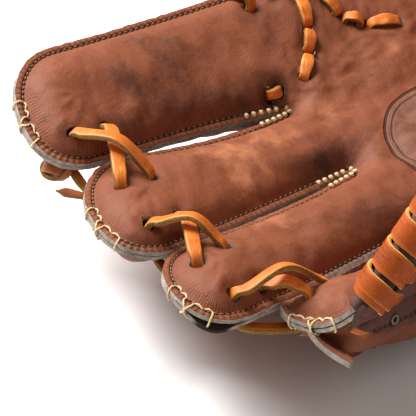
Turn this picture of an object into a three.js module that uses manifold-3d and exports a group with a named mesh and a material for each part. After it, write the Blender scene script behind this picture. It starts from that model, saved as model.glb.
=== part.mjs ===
// Baseball glove for the left hand, lying on its back with the palm up.
// Lengths are millimetres and angles are degrees. The flat pattern lies in u and v: u runs from
// the thumb to the little finger, v from the heel to the fingertips, and w stands on the leather.
import * as THREE from 'three';
import loadManifold from 'manifold-3d';

// Leather and seams
const leather = 2.2;
const seamGap = 0.4;
const fitGap = 0.3;
const panelGap = 1.15;
const lip = 4;
const shoulder = 11;

// Fan of finger seams: each seam is a straight line through two bearings taken from the fan centre
const fanDrop = 60;
const slitRadius = 237;
const spanRadius = 345;
const seams = [
  // name, bearing at the slit radius, bearing at the span radius
  { name: 'web', atSlit: -17.7, atSpan: -15.6 },
  { name: 'index_middle', atSlit: -9.4, atSpan: -7.6 },
  { name: 'middle_ring', atSlit: 0, atSpan: -0.7 },
  { name: 'ring_little', atSlit: 9.4, atSpan: 8.8 },
  { name: 'outer', atSlit: 22.9, atSpan: 17.6 },
];
const fingers = [
  // name, radius of the tip, depth of the rounded tip, lean of the tip, opening of the slit beyond
  { name: 'index', tip: 328, round: 6, lean: -2, slit: 1.6 },
  { name: 'middle', tip: 350.8, round: 21.9, lean: -6.6, slit: 1.8 },
  { name: 'ring', tip: 344.8, round: 23.5, lean: -8.7, slit: 4.5 },
  { name: 'little', tip: 343.5, round: 23, lean: -1.6, slit: 0 },
];
const tipPower = 2.3;

// Palm between the slits and the heel
const heelLeft = -62;
const heelRight = 76;
const heelLift = 2;
const heelSag = 14;
const sideBulge = 6;
const crotchShare = 0.42;

// Thumb
const thumbBearing = 46;
const thumbLength = 170;
const thumbWidth = 52;
const thumbRound = 24;

// Fullness of the two faces
const palmPuff = 8;
const palmSoftness = 5;
const handDepth = 28;
const tipDepth = 12;
const backSoftness = 7;
const handCentre = 110;
const depthFrom = 60;
const depthTo = 190;

// Bends of the broken-in leather: a roll about a line in the pattern, by an angle over a reach
const bends = [
  // name, where the line starts in u and v, bearing of the side bent up, reach, angle
  { name: 'finger curl', u: 0, v: 146.6, bearing: 4.3, reach: 150, angle: 13.1 },
  { name: 'thumb side', u: -29.2, v: 150, bearing: -99.3, reach: 54.1, angle: 82.2 },
  { name: 'little side', u: -3.9, v: 150, bearing: 99, reach: 81.9, angle: 30.2 },
];
const flattened = 3;

// Wrist strap, as shares of the way from the slits to the heel
const strapFrom = 0.68;
const strapTo = 0.9;

// Laces
const laceWidth = 4.8;
const laceThickness = 2.4;
const holeRadius = 3.2;
const legLength = 5.5;
const laceLift = 1.2;
const footReach = 2.2;
const shortRise = 1.4;

// Web
const webThickness = 2.6;
const webEdgeGap = 0.7;
const webFoot = 0.17;
const webTop = 0.985;
const webLaceInset = 7;
const webLacePlaces = [0.34, 0.58, 0.82];
const rollRadius = 4.2;
const rollEndGap = 3;
const bandCount = 8;
const bandPitch = 10.6;
const bandStart = 3;
const bandWidth = 9;
const bandThickness = 2;
const bandGap = 0.6;
const bandSweep = 115;
const bandTail = 13;
const bandLean = 3;
const tailGap = 0.92;

// Fin of the seam on the back of the index finger
const finAtTip = 16.5;
const finLean = 60;
const finBelow = 2.5;
const finFade = 16;
const finTo = 0.7;

// Knot and loose ends of the lace behind the little finger
const knotRadius = 5.5;

const radians = Math.PI / 180;
const manifoldLibrary = await loadManifold();
manifoldLibrary.setup();
const { Manifold, Mesh: ManifoldMesh } = manifoldLibrary;

const mix = (a, b, share) => a + (b - a) * share;
const mixPoint = (a, b, share) => [mix(a[0], b[0], share), mix(a[1], b[1], share)];
const vector = (p) => new THREE.Vector3(p[0], p[1], p[2]);

function smooth(value, from, to) {
  const share = Math.min(1, Math.max(0, (value - from) / (to - from)));
  return share * share * (3 - 2 * share);
}

// Flat pattern

function seamPoint(seam, radius) {
  const at = (bearing, r) => [r * Math.sin(bearing * radians), r * Math.cos(bearing * radians) - fanDrop];
  const share = (radius - slitRadius) / (spanRadius - slitRadius);
  return mixPoint(at(seam.atSlit, slitRadius), at(seam.atSpan, spanRadius), share);
}

// Half of the opening of a slit, nothing at its closed end and widest halfway to the tips
function slitOpening(width, share) {
  return 0.5 * width * Math.sin(Math.PI * Math.min(1, Math.max(0, share)) ** 0.8);
}

// A finger's two edges as functions of the share of the way from its base to where its tip rounds
function fanFinger(index) {
  const own = fingers[index];
  const left = index > 0 ? fingers[index - 1].slit : 0;
  const corner = own.tip - own.round;
  return {
    name: own.name,
    round: own.round,
    equalBase: false,
    edge(side, share) {
      const seam = seams[index + side];
      const radius = mix(slitRadius, corner + (side ? own.lean : -own.lean), share);
      const [u, v] = seamPoint(seam, radius);
      const open = slitOpening(side ? own.slit : left, share);
      return [u + (side ? -open : open), v];
    },
  };
}

// A point of the palm, across from 0 at the web side to 4 at the little finger's side,
// and down from 0 at the slits to 1 at the heel
function palmPoint(across, down) {
  const place = Math.min(3, Math.floor(across));
  const share = across - place;
  const a = seamPoint(seams[place], slitRadius);
  const b = seamPoint(seams[place + 1], slitRadius);
  return heelward(mixPoint(a, b, share), across / 4, down);
}

function heelward(slitPoint, share, down) {
  const heel = [
    mix(heelLeft, heelRight, share),
    mix(0, heelLift, share) - heelSag * 4 * share * (1 - share),
  ];
  const [u, v] = mixPoint(slitPoint, heel, down);
  return [u + sideBulge * Math.sin(Math.PI * down) * share ** 8, v];
}

function thumbFinger() {
  const crotch = palmPoint(0, crotchShare);
  const heel = palmPoint(0, 1);
  const along = [-Math.sin(thumbBearing * radians), Math.cos(thumbBearing * radians)];
  const across = [along[1], -along[0]];
  const base = mixPoint(crotch, heel, 0.5);
  const corner = (sign) => [0, 1].map((i) => (
    base[i] + along[i] * thumbLength + across[i] * sign * 0.5 * thumbWidth));
  const ends = [corner(-1), corner(1)];
  const starts = [heel, crotch];
  return {
    name: 'thumb',
    round: thumbRound,
    equalBase: true,
    edge: (side, share) => mixPoint(starts[side], ends[side], share),
  };
}

const distance = (a, b) => Math.hypot(a[0] - b[0], a[1] - b[1]);

// Shares across a finger of the rings that lie inside its edge, from edge to centre
function ringShares(width) {
  return [0, lip / width, shoulder / width, 0.5];
}
const ringCount = 3;
const columnCount = 2 * ringCount;

// Rings of points round a finger: up one edge, round the tip and down the other
function fingerRings(finger, inset, sideSteps, tipSteps) {
  const rings = [];
  for (let ring = 0; ring <= ringCount; ring += 1) {
    const points = [];
    const shareAt = (along) => {
      const a = finger.edge(0, along);
      const b = finger.edge(1, along);
      const share = ringShares(distance(a, b))[ring];
      return finger.equalBase ? mix(ring / columnCount, share, smooth(along, 0, 0.4)) : share;
    };
    const across = (along, share) => {
      const a = finger.edge(0, along);
      const b = finger.edge(1, along);
      const pull = inset / distance(a, b);
      return mixPoint(a, b, mix(pull, 1 - pull, share));
    };
    for (let step = 0; step < sideSteps; step += 1) {
      const along = step / sideSteps;
      points.push(across(along, shareAt(along)));
    }
    const a = finger.edge(0, 1);
    const b = finger.edge(1, 1);
    const width = distance(a, b);
    const back = mixPoint(finger.edge(0, 0.9), finger.edge(1, 0.9), 0.5);
    const middle = mixPoint(a, b, 0.5);
    const reach = distance(back, middle);
    const ahead = [(middle[0] - back[0]) / reach, (middle[1] - back[1]) / reach];
    const inner = 1 - 2 * shareAt(1);
    for (let step = 0; step <= tipSteps; step += 1) {
      const angle = Math.PI * step / tipSteps;
      const swing = Math.sign(Math.cos(angle)) * Math.abs(Math.cos(angle)) ** (2 / tipPower);
      const bulge = Math.abs(Math.sin(angle)) ** (2 / tipPower);
      const [u, v] = across(1, 0.5 - 0.5 * swing * inner);
      const out = (finger.round - inset) * inner * bulge;
      points.push([u + ahead[0] * out, v + ahead[1] * out]);
    }
    for (let step = sideSteps - 1; step >= 0; step -= 1) {
      const along = step / sideSteps;
      points.push(across(along, 1 - shareAt(along)));
    }
    rings.push(points);
  }
  return rings;
}

// Columns of the palm: at a finger's ring shares at the slits, and evenly spaced at the heel
const palmRows = (() => {
  const rows = [];
  for (let row = 0; row <= 5; row += 1) rows.push(crotchShare * row / 5);
  for (let row = 1; row <= columnCount; row += 1) rows.push(mix(crotchShare, 1, row / columnCount));
  return rows;
})();

function palmGrid(fromColumn, toColumn, rows, inset) {
  const grid = [];
  for (const down of rows) {
    const line = [];
    for (let column = fromColumn; column <= toColumn; column += 1) {
      const place = Math.min(3, Math.floor(column / columnCount));
      const a = seamPoint(seams[place], slitRadius);
      const b = seamPoint(seams[place + 1], slitRadius);
      const part = column - columnCount * place;
      const width = distance(a, b);
      const shares = ringShares(width);
      const share = part <= ringCount ? shares[part] : 1 - shares[columnCount - part];
      const pull = inset / width;
      const side = Number(column === fromColumn) - Number(column === toColumn);
      const heelShare = column / (4 * columnCount) + side * inset / (heelRight - heelLeft);
      line.push(heelward(mixPoint(a, b, mix(pull, 1 - pull, share)), heelShare, down));
    }
    grid.push(line);
  }
  return grid;
}

// A sheet is a set of shared flat points and the triangles between them
class Sheet {
  constructor() {
    this.points = [];
    this.faces = [];
    this.places = new Map();
  }

  add(point) {
    const key = point.map((value) => Math.round(value * 500)).join(' ');
    if (!this.places.has(key)) {
      this.places.set(key, this.points.length);
      this.points.push(point);
    }
    return this.places.get(key);
  }

  face(a, b, c) {
    if (a === b || b === c || c === a) return;
    const [p, q, r] = [a, b, c].map((i) => this.points[i]);
    const area = (q[0] - p[0]) * (r[1] - p[1]) - (q[1] - p[1]) * (r[0] - p[0]);
    if (Math.abs(area) < 1e-4) return;
    this.faces.push(area > 0 ? [a, b, c] : [a, c, b]);
  }

  grid(lines) {
    const ids = lines.map((line) => line.map((point) => this.add(point)));
    for (let i = 0; i + 1 < ids.length; i += 1) {
      for (let k = 0; k + 1 < ids[i].length; k += 1) {
        this.face(ids[i][k], ids[i][k + 1], ids[i + 1][k + 1]);
        this.face(ids[i][k], ids[i + 1][k + 1], ids[i + 1][k]);
      }
    }
  }

  rim() {
    const edges = new Map();
    for (const face of this.faces) {
      for (let i = 0; i < 3; i += 1) {
        const a = face[i];
        const b = face[(i + 1) % 3];
        if (edges.has(`${b} ${a}`)) edges.delete(`${b} ${a}`);
        else edges.set(`${a} ${b}`, [a, b]);
      }
    }
    return [...edges.values()];
  }
}

const sideSteps = 6;
const thumbSteps = 8;
const tipSteps = 8;
const fanFingers = fingers.map((own, index) => fanFinger(index));
const thumb = thumbFinger();

const palmSheet = new Sheet();
palmSheet.grid(palmGrid(0, 4 * columnCount, palmRows, 0));
for (const finger of fanFingers) palmSheet.grid(fingerRings(finger, 0, sideSteps, tipSteps));
palmSheet.grid(fingerRings(thumb, 0, thumbSteps, tipSteps));

// Distance in the pattern to the sewn edge, with or without the heel's free edge
const sewnEdge = palmSheet.rim().map(([a, b]) => [palmSheet.points[a], palmSheet.points[b]]);
const heelHeight = (u) => {
  const share = (u - heelLeft) / (heelRight - heelLeft);
  return heelLift - heelSag * 4 * share * (1 - share);
};
const isHeel = ([a, b]) => [a, b].every(([u, v]) => (
  v < heelLift + 0.5 && v < heelHeight(u) + 2.5 && u > heelLeft - 0.1 && u < heelRight + 0.1));
const sideEdge = sewnEdge.filter((edge) => !isHeel(edge));

function distanceTo(edges, u, v) {
  let least = Infinity;
  for (const [a, b] of edges) {
    const du = b[0] - a[0];
    const dv = b[1] - a[1];
    const along = ((u - a[0]) * du + (v - a[1]) * dv) / (du * du + dv * dv);
    const share = Math.min(1, Math.max(0, along));
    least = Math.min(least, Math.hypot(u - a[0] - du * share, v - a[1] - dv * share));
  }
  return least;
}

// Height of the two outer faces over the plane of the sewn lips

const fullness = (inside, softness) => (inside <= lip ? 0 : 1 - Math.exp((lip - inside) / softness));

function palmHeight(u, v) {
  return seamGap / 2 + leather + palmPuff * fullness(distanceTo(sewnEdge, u, v), palmSoftness);
}

function backHeight(u, v) {
  const away = Math.hypot(u, v - handCentre);
  const depth = mix(handDepth, tipDepth, smooth(away, depthFrom, depthTo));
  return -(seamGap / 2 + leather + depth * fullness(distanceTo(sideEdge, u, v), backSoftness));
}

// Bends

function bend(point, { u, v, bearing, reach, angle }) {
  const d = [Math.sin(bearing * radians), Math.cos(bearing * radians)];
  const x = (point[0] - u) * d[0] + (point[1] - v) * d[1];
  const y = (point[1] - v) * d[0] - (point[0] - u) * d[1];
  if (x <= 0) return point;
  const full = angle * radians;
  const radius = reach / full;
  const turn = Math.min(x / radius, full);
  const beyond = x - turn * radius;
  const out = (radius - point[2]) * Math.sin(turn) + beyond * Math.cos(turn);
  const up = radius - (radius - point[2]) * Math.cos(turn) + beyond * Math.sin(turn);
  return [u + out * d[0] - y * d[1], v + out * d[1] + y * d[0], up];
}

// The glove rests on the back of the hand, pressed flat there by the named amount
const floorHeight = -(seamGap / 2 + leather + handDepth - flattened);

function formed(u, v, w) {
  const [x, y, z] = bends.reduce(bend, [u, v, w]);
  return new THREE.Vector3(x, y, Math.max(z - floorHeight, 0));
}

// Solids

function geometryOf(positions, triangles) {
  const geometry = new THREE.BufferGeometry();
  geometry.setAttribute('position', new THREE.Float32BufferAttribute(positions.flatMap((p) => p.toArray()), 3));
  geometry.setIndex(triangles.flat());
  geometry.computeVertexNormals();
  return geometry;
}

// A wall of even thickness: an outer face, an inner face along its normals, and a rim between them
function wallOf(outer, normals, faces, rim, thickness) {
  const inner = outer.map((point, i) => point.clone().addScaledVector(normals[i], -thickness));
  const count = outer.length;
  const triangles = faces.map((face) => [...face]);
  for (const [a, b, c] of faces) triangles.push([a + count, c + count, b + count]);
  for (const [a, b] of rim) {
    triangles.push([b, a, a + count]);
    triangles.push([b, a + count, b + count]);
  }
  return geometryOf([...outer, ...inner], triangles);
}

function sheetWall(sheet, height, faceUp, thickness = leather) {
  const places = sheet.points.map(onFace(height, faceUp));
  const outer = places.map(({ point }) => point);
  const normals = places.map(({ normal }) => normal);
  const turned = (face) => (faceUp ? face : [face[0], face[2], face[1]]);
  const rim = sheet.rim().map(([a, b]) => (faceUp ? [a, b] : [b, a]));
  return wallOf(outer, normals, sheet.faces.map(turned), rim, thickness);
}

// A ribbon of rectangular section along a path, its width kept along one side direction
function ribbon(path, side, width, thickness) {
  const positions = [];
  const triangles = [];
  path.forEach((point, i) => {
    const before = path[Math.max(0, i - 1)];
    const after = path[Math.min(path.length - 1, i + 1)];
    const ahead = after.clone().sub(before).normalize();
    const up = side.clone().cross(ahead).normalize();
    const across = ahead.clone().cross(up).normalize();
    for (const [x, y] of [[-1, -1], [1, -1], [1, 1], [-1, 1]]) {
      positions.push(point.clone()
        .addScaledVector(across, 0.5 * width * x)
        .addScaledVector(up, 0.5 * thickness * y));
    }
  });
  for (let i = 0; i + 1 < path.length; i += 1) {
    for (let k = 0; k < 4; k += 1) {
      const a = 4 * i + k;
      const b = 4 * i + (k + 1) % 4;
      triangles.push([a, b, b + 4]);
      triangles.push([a, b + 4, a + 4]);
    }
  }
  const last = positions.length - 4;
  triangles.push([0, 2, 1], [0, 3, 2], [last, last + 1, last + 2], [last, last + 2, last + 3]);
  return outward(geometryOf(positions, triangles));
}

function signedVolume(geometry) {
  const position = geometry.getAttribute('position');
  const index = geometry.getIndex();
  const [a, b, c] = [new THREE.Vector3(), new THREE.Vector3(), new THREE.Vector3()];
  let sum = 0;
  for (let i = 0; i < index.count; i += 3) {
    a.fromBufferAttribute(position, index.getX(i));
    b.fromBufferAttribute(position, index.getX(i + 1));
    c.fromBufferAttribute(position, index.getX(i + 2));
    sum += a.dot(b.cross(c)) / 6;
  }
  return sum;
}

function outward(geometry) {
  if (signedVolume(geometry) < 0) {
    const index = geometry.getIndex().array;
    for (let i = 0; i < index.length; i += 3) [index[i + 1], index[i + 2]] = [index[i + 2], index[i + 1]];
  }
  return geometry;
}

function toManifold(geometry) {
  return new Manifold(new ManifoldMesh({
    numProp: 3,
    vertProperties: new Float32Array(geometry.getAttribute('position').array),
    triVerts: new Uint32Array(geometry.getIndex().array),
  }));
}

function fromManifold(solid) {
  const mesh = solid.getMesh();
  const geometry = new THREE.BufferGeometry();
  geometry.setAttribute('position', new THREE.BufferAttribute(new Float32Array(mesh.vertProperties), 3));
  geometry.setIndex(new THREE.BufferAttribute(new Uint32Array(mesh.triVerts), 1));
  geometry.computeVertexNormals();
  return geometry;
}

// A short eight-sided peg that cuts one hole along the leather's normal
function peg(centre, normal, radius, length) {
  const geometry = new THREE.CylinderGeometry(radius, radius, length, 8);
  geometry.deleteAttribute('normal');
  geometry.deleteAttribute('uv');
  const turn = new THREE.Quaternion().setFromUnitVectors(new THREE.Vector3(0, 1, 0), normal);
  geometry.applyQuaternion(turn);
  geometry.translate(centre.x, centre.y, centre.z);
  return weld(geometry);
}

function weld(geometry) {
  const position = geometry.getAttribute('position');
  const index = geometry.getIndex();
  const places = new Map();
  const points = [];
  const ids = [];
  for (let i = 0; i < position.count; i += 1) {
    const point = new THREE.Vector3().fromBufferAttribute(position, i);
    const key = point.toArray().map((value) => Math.round(value * 1000)).join(' ');
    if (!places.has(key)) {
      places.set(key, points.length);
      points.push(point);
    }
    ids.push(places.get(key));
  }
  const triangles = [];
  for (let i = 0; i < index.count; i += 3) {
    const face = [0, 1, 2].map((k) => ids[index.getX(i + k)]);
    if (new Set(face).size === 3) triangles.push(face);
  }
  return outward(geometryOf(points, triangles));
}

// Places on the leather: a point of a face and its outward normal

function onFace(height, faceUp) {
  return ([u, v]) => {
    const step = 2.5;
    const at = (du, dv) => formed(u + du, v + dv, height(u + du, v + dv));
    const alongU = at(step, 0).sub(at(-step, 0));
    const alongV = at(0, step).sub(at(0, -step));
    const normal = alongU.cross(alongV).normalize();
    return { point: at(0, 0), normal: faceUp ? normal : normal.negate() };
  };
}

const onPalm = onFace(palmHeight, true);
const onBack = onFace(backHeight, false);

function fingerPoint(index, across, along) {
  const radius = mix(slitRadius, fingers[index].tip, along);
  return mixPoint(seamPoint(seams[index], radius), seamPoint(seams[index + 1], radius), across);
}

const palmCutters = [];
const pieces = [];

function piece(name, geometry, colour) {
  pieces.push({ name, geometry, colour });
}

// A lace that comes up out of one hole, crosses over and goes down another
function stitch(from, to, rise) {
  const a = from.point;
  const b = to.point;
  const span = b.clone().sub(a);
  const lean = span.clone().normalize();
  const up = from.normal.clone().add(to.normal).normalize();
  const side = up.clone().cross(lean).normalize();
  const inset = 0.5 * laceThickness;
  const reach = Math.min(footReach, 0.2 * span.length());
  const foot = (end, along) => [
    end.point.clone().addScaledVector(end.normal, -legLength),
    end.point.clone().addScaledVector(end.normal, 0.2),
    end.point.clone().addScaledVector(end.normal, laceLift + inset).addScaledVector(lean, along * reach),
  ];
  const crown = a.clone().lerp(b, 0.5).addScaledVector(up, laceLift + inset + rise);
  const path = [...foot(from, 1), crown, ...foot(to, -1).reverse()];
  const curve = new THREE.CatmullRomCurve3(path, false, 'centripetal');
  return ribbon(curve.getPoints(10), side, laceWidth, laceThickness);
}

function cutFor(end, cutters) {
  cutters.push(peg(end.point, end.normal, holeRadius, 2 * (leather + lip)));
}

// Palm laces between neighbouring fingers: two strands that cross, the far one on top

const fingerLaces = [
  // first finger, its place across and along, second finger, its place across and along, rise
  { name: 'little_ring_over', a: [3, 0.215, 0.875], b: [2, 0.585, 0.735], rise: 5.2 },
  { name: 'little_ring_under', a: [3, 0.2, 0.74], b: [2, 0.59, 0.86], rise: 0.6 },
  { name: 'ring_middle_over', a: [2, 0.18, 0.9], b: [1, 0.635, 0.75], rise: 5.2 },
  { name: 'ring_middle_under', a: [2, 0.17, 0.765], b: [1, 0.61, 0.88], rise: 0.6 },
  { name: 'middle_index_over', a: [1, 0.18, 0.885], b: [0, 0.8, 0.76], rise: 5.2 },
  { name: 'middle_index_under', a: [1, 0.17, 0.77], b: [0, 0.78, 0.88], rise: 0.6 },
];
for (const { name, a, b, rise } of fingerLaces) {
  const ends = [a, b].map((end) => onPalm(fingerPoint(...end)));
  for (const end of ends) cutFor(end, palmCutters);
  piece(`lace_${name}`, stitch(...ends, rise), 'lace');
}

const backCutters = { index: [], middle: [], ring: [], little: [] };

// The same laces seen behind the fingers, each a plain strand near the tips
const behindLaces = [
  // first finger, its place across and along, second finger, its place across and along
  { name: 'little_ring_behind', a: ['little', 3, 0.14, 0.84], b: ['ring', 2, 0.8, 0.84] },
  { name: 'ring_middle_behind', a: ['ring', 2, 0.14, 0.84], b: ['middle', 1, 0.84, 0.83] },
  { name: 'middle_index_behind', a: ['middle', 1, 0.14, 0.86], b: ['index', 0, 0.86, 0.88] },
];
for (const { name, a, b } of behindLaces) {
  const ends = [a, b].map(([finger, ...place]) => {
    const end = onBack(fingerPoint(...place));
    cutFor(end, backCutters[finger]);
    return end;
  });
  piece(`lace_${name}`, stitch(...ends, 0.8), 'lace');
}

// Lacing through the palm below the little finger, in short stitches from hole to hole
const palmLaces = [
  // name, places across the palm and down from the slits, in order along the lacing
  { name: 'chain_upper', places: [[3.73, 0.152], [3.447, 0.136], [3.262, 0.102], [3.078, 0.054]] },
  { name: 'chain_lower', places: [[3.69, 0.205], [3.42, 0.228], [3.261, 0.277], [3.131, 0.362]] },
  { name: 'single', places: [[3.16, -0.062], [3.118, 0.01]] },
];
const laceStep = 2.5;
for (const { name, places } of palmLaces) {
  const points = places.map(([across, down]) => palmPoint(across, down));
  for (let i = 0; i + 1 < points.length; i += 1) {
    const share = laceStep / distance(points[i], points[i + 1]);
    const ends = [share, 1 - share].map((s) => onPalm(mixPoint(points[i], points[i + 1], s)));
    for (const end of ends) cutFor(end, palmCutters);
    piece(`lace_${name}_${i + 1}`, stitch(...ends, shortRise), 'lace');
  }
}

// Two laces that wrap the outer edge at the base of the little finger
const sideLaces = [-0.003, 0.064];
const sideLaceInset = 10;
sideLaces.forEach((down, i) => {
  const edge = palmPoint(3.9999, down);
  const inner = [edge[0] - sideLaceInset, edge[1] - 1];
  const from = onPalm(inner);
  const to = onBack(inner);
  cutFor(from, palmCutters);
  cutFor(to, backCutters.little);
  const clear = laceLift + 0.5 * laceThickness;
  const at = (beyond, w) => formed(edge[0] + beyond, edge[1], w);
  const top = seamGap / 2 + leather + clear;
  const path = [
    from.point.clone().addScaledVector(from.normal, -legLength),
    from.point.clone().addScaledVector(from.normal, 0.2),
    from.point.clone().addScaledVector(from.normal, clear).add(at(2, 0).sub(at(0, 0))),
    at(-0.5, top),
    at(clear + 1, 0.5 * top),
    at(clear + 1, -0.5 * top),
    at(-0.5, -top),
    to.point.clone().addScaledVector(to.normal, clear).add(at(2, 0).sub(at(0, 0))),
    to.point.clone().addScaledVector(to.normal, 0.2),
    to.point.clone().addScaledVector(to.normal, -legLength),
  ];
  const side = from.normal.clone().cross(at(2, 0).sub(at(0, 0))).normalize();
  const curve = new THREE.CatmullRomCurve3(path, false, 'centripetal');
  piece(`lace_side_${i + 1}`, ribbon(curve.getPoints(14), side, laceWidth, laceThickness), 'lace');
});

// Knot behind the tip of the little finger, with its two loose ends
const knotPlace = onBack(fingerPoint(3, 0.16, 0.894));
const knotCentre = knotPlace.point.clone().addScaledVector(knotPlace.normal, knotRadius + fitGap);
const knot = new THREE.IcosahedronGeometry(knotRadius, 1);
knot.deleteAttribute('normal');
knot.deleteAttribute('uv');
knot.setIndex([...Array(knot.getAttribute('position').count).keys()]);
knot.scale(1, 1, 0.8);
knot.translate(...knotCentre.toArray());
piece('lace_knot', weld(knot), 'lace');

// Loose end that lies against the back of the ring finger and points past its tip
const endPlaces = [[0.68, 0.84], [0.76, 0.89], [0.84, 0.94], [0.92, 0.99]];
const endPath = endPlaces.map(([across, along]) => {
  const [u, v] = fingerPoint(2, across, along);
  const { point, normal } = onBack(fingerPoint(2, across, Math.min(along, 0.9)));
  const lift = formed(u, v, -10).sub(formed(...fingerPoint(2, across, Math.min(along, 0.9)), -10));
  return point.addScaledVector(normal, laceLift + 0.5 * laceThickness).add(lift);
});
const endSide = endPath[3].clone().sub(endPath[0]).cross(onBack(fingerPoint(2, 0.7, 0.84)).normal).normalize();
piece('lace_end', ribbon(endPath, endSide, laceWidth, laceThickness), 'lace');

// Web between the index finger and the thumb

const crotchPoint = palmPoint(0, crotchShare);
const slitPoint = palmPoint(0, 0);
const indexCorner = fanFingers[0].edge(0, 1);
const palmSide = distance(crotchPoint, slitPoint);
const fingerSide = distance(slitPoint, indexCorner);

function indexEdge(share) {
  const along = share * (palmSide + fingerSide);
  return along < palmSide
    ? mixPoint(crotchPoint, slitPoint, along / palmSide)
    : mixPoint(slitPoint, indexCorner, (along - palmSide) / fingerSide);
}

const thumbEdge = (share) => thumb.edge(1, share);

// A point beside an edge line, on its right for a positive distance
function beside(edge, share, away) {
  const [u, v] = edge(share);
  const before = edge(share - 0.02);
  const after = edge(share + 0.02);
  const length = distance(before, after);
  return [u + away * (after[1] - before[1]) / length, v - away * (after[0] - before[0]) / length];
}

const webSteps = { up: 5, across: 9 };
const webLeft = (share) => beside(indexEdge, share, -webEdgeGap);
const webRight = (share) => beside(thumbEdge, share, webEdgeGap);
const webSheet = new Sheet();
webSheet.grid(Array.from({ length: webSteps.up + 1 }, (_, row) => {
  const share = mix(webFoot, webTop, row / webSteps.up);
  return Array.from({ length: webSteps.across + 1 }, (__, column) => (
    mixPoint(webLeft(share), webRight(share), column / webSteps.across)));
}));
const webHeight = () => webThickness / 2;
const onWeb = onFace(webHeight, true);

const webCutters = [];
const webSides = [
  // name, edge line, direction of the web from it
  { name: 'index', edge: indexEdge, web: -1 },
  { name: 'thumb', edge: thumbEdge, web: 1 },
];
for (const { name, edge, web } of webSides) {
  webLacePlaces.forEach((share, i) => {
    const from = onPalm(beside(edge, share, -web * webLaceInset));
    const to = onWeb(beside(edge, share, web * webLaceInset));
    cutFor(from, palmCutters);
    cutFor(to, webCutters);
    piece(`web_lace_${name}_${i + 1}`, stitch(from, to, 0.8), 'lace');
  });
}
const webWall = toManifold(sheetWall(webSheet, webHeight, true, webThickness));
const webHoles = webCutters.map(toManifold).reduce((all, next) => all.add(next));
piece('web_panel', fromManifold(webWall.subtract(webHoles)), 'web');

// Roll along the top edge of the web, and the bands wound over it

const rollFrom = webLeft(webTop);
const rollTo = webRight(webTop);
const rollLength = distance(rollFrom, rollTo) - 2 * rollEndGap;
const rollAhead = [0, 1].map((i) => (rollTo[i] - rollFrom[i]) / distance(rollFrom, rollTo));
const rollOut = [rollAhead[1], -rollAhead[0]];

// A place by the roll: along it, beyond its axis and off the plane of the web
function byRoll(along, out, w) {
  const away = rollRadius + fitGap + out;
  return formed(
    rollFrom[0] + rollAhead[0] * (rollEndGap + along) + rollOut[0] * away,
    rollFrom[1] + rollAhead[1] * (rollEndGap + along) + rollOut[1] * away,
    w,
  );
}

function rollSolid() {
  const sides = 12;
  const steps = 9;
  const positions = [];
  const triangles = [];
  for (let step = 0; step <= steps; step += 1) {
    for (let k = 0; k < sides; k += 1) {
      const angle = 2 * Math.PI * k / sides;
      const along = rollLength * step / steps;
      positions.push(byRoll(along, rollRadius * Math.cos(angle), rollRadius * Math.sin(angle)));
    }
  }
  for (let step = 0; step < steps; step += 1) {
    for (let k = 0; k < sides; k += 1) {
      const a = step * sides + k;
      const b = step * sides + (k + 1) % sides;
      triangles.push([a, b, b + sides], [a, b + sides, a + sides]);
    }
  }
  const last = steps * sides;
  for (let k = 1; k + 1 < sides; k += 1) {
    triangles.push([0, k + 1, k], [last, last + k, last + k + 1]);
  }
  return outward(geometryOf(positions, triangles));
}
piece('web_roll', rollSolid(), 'web');

// Each band lies round the roll and then straight down to both faces of the web
for (let band = 0; band < bandCount; band += 1) {
  const along = bandStart + bandPitch * band + bandWidth / 2;
  const radius = rollRadius + bandGap + bandThickness / 2;
  const flat = webThickness / 2 + tailGap + bandThickness / 2;
  const sweep = bandSweep * radians;
  const leave = [radius * Math.cos(sweep), radius * Math.sin(sweep)];
  const meet = leave[0] - (leave[1] - flat) * Math.tan(sweep - Math.PI / 2) ** -1;
  const tail = (sign) => [
    byRoll(along + sign * bandLean, -bandTail, sign * flat),
    byRoll(along + sign * bandLean, Math.max(meet, 2 - bandTail), sign * flat),
  ];
  const arc = [];
  for (let step = 0; step <= 6; step += 1) {
    const share = mix(-1, 1, step / 6);
    const angle = sweep * share;
    const place = along + bandLean * share * Math.abs(share);
    arc.push(byRoll(place, radius * Math.cos(angle), radius * Math.sin(angle)));
  }
  const path = [...tail(-1), ...arc, ...tail(1).reverse()];
  const ahead = byRoll(along + 1, 0, 0).sub(byRoll(along - 1, 0, 0)).normalize();
  piece(`web_band_${band + 1}`, ribbon(path, ahead, bandWidth, bandThickness), 'lace');
}

// Fin of the outward seam on the back of the index finger

const finPlaces = [1, 0.985, 0.96, 0.93, 0.9, 0.85, 0.78, finTo];
const finLine = (along) => {
  const { tip } = fingers[0];
  const [u, v] = fingerPoint(0, 0.5, along);
  const fade = smooth((1 - along) * (tip - slitRadius), 0, finFade);
  const fall = mix(finAtTip, finBelow, fade);
  const lean = mix(finLean, 0, fade) * radians;
  const height = backHeight(u, v) - 3 * fitGap - 1.4 * leather * Math.sin(lean);
  return [
    formed(u, v, height),
    formed(u - fall * Math.sin(lean), v, height - fall * Math.cos(lean)),
  ];
};
{
  const lines = finPlaces.map(finLine);
  const outer = lines.flat();
  const faces = [];
  const rim = [];
  for (let i = 0; i + 1 < lines.length; i += 1) {
    const a = 2 * i;
    faces.push([a, a + 1, a + 3], [a, a + 3, a + 2]);
    rim.push([a + 2, a], [a + 1, a + 3]);
  }
  const last = 2 * lines.length - 2;
  rim.push([0, 1], [last + 1, last]);
  const across = lines.map((_, i) => {
    const next = lines[Math.min(i + 1, lines.length - 1)];
    const previous = lines[Math.max(i - 1, 0)];
    const along = next[0].clone().sub(previous[0]);
    return along.cross(lines[i][1].clone().sub(lines[i][0])).normalize();
  });
  const normals = across.flatMap((normal) => [normal, normal]);
  piece('back_index_fin', outward(wallOf(outer, normals, faces, rim, leather)), 'leather');
}

// Assembly

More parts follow.
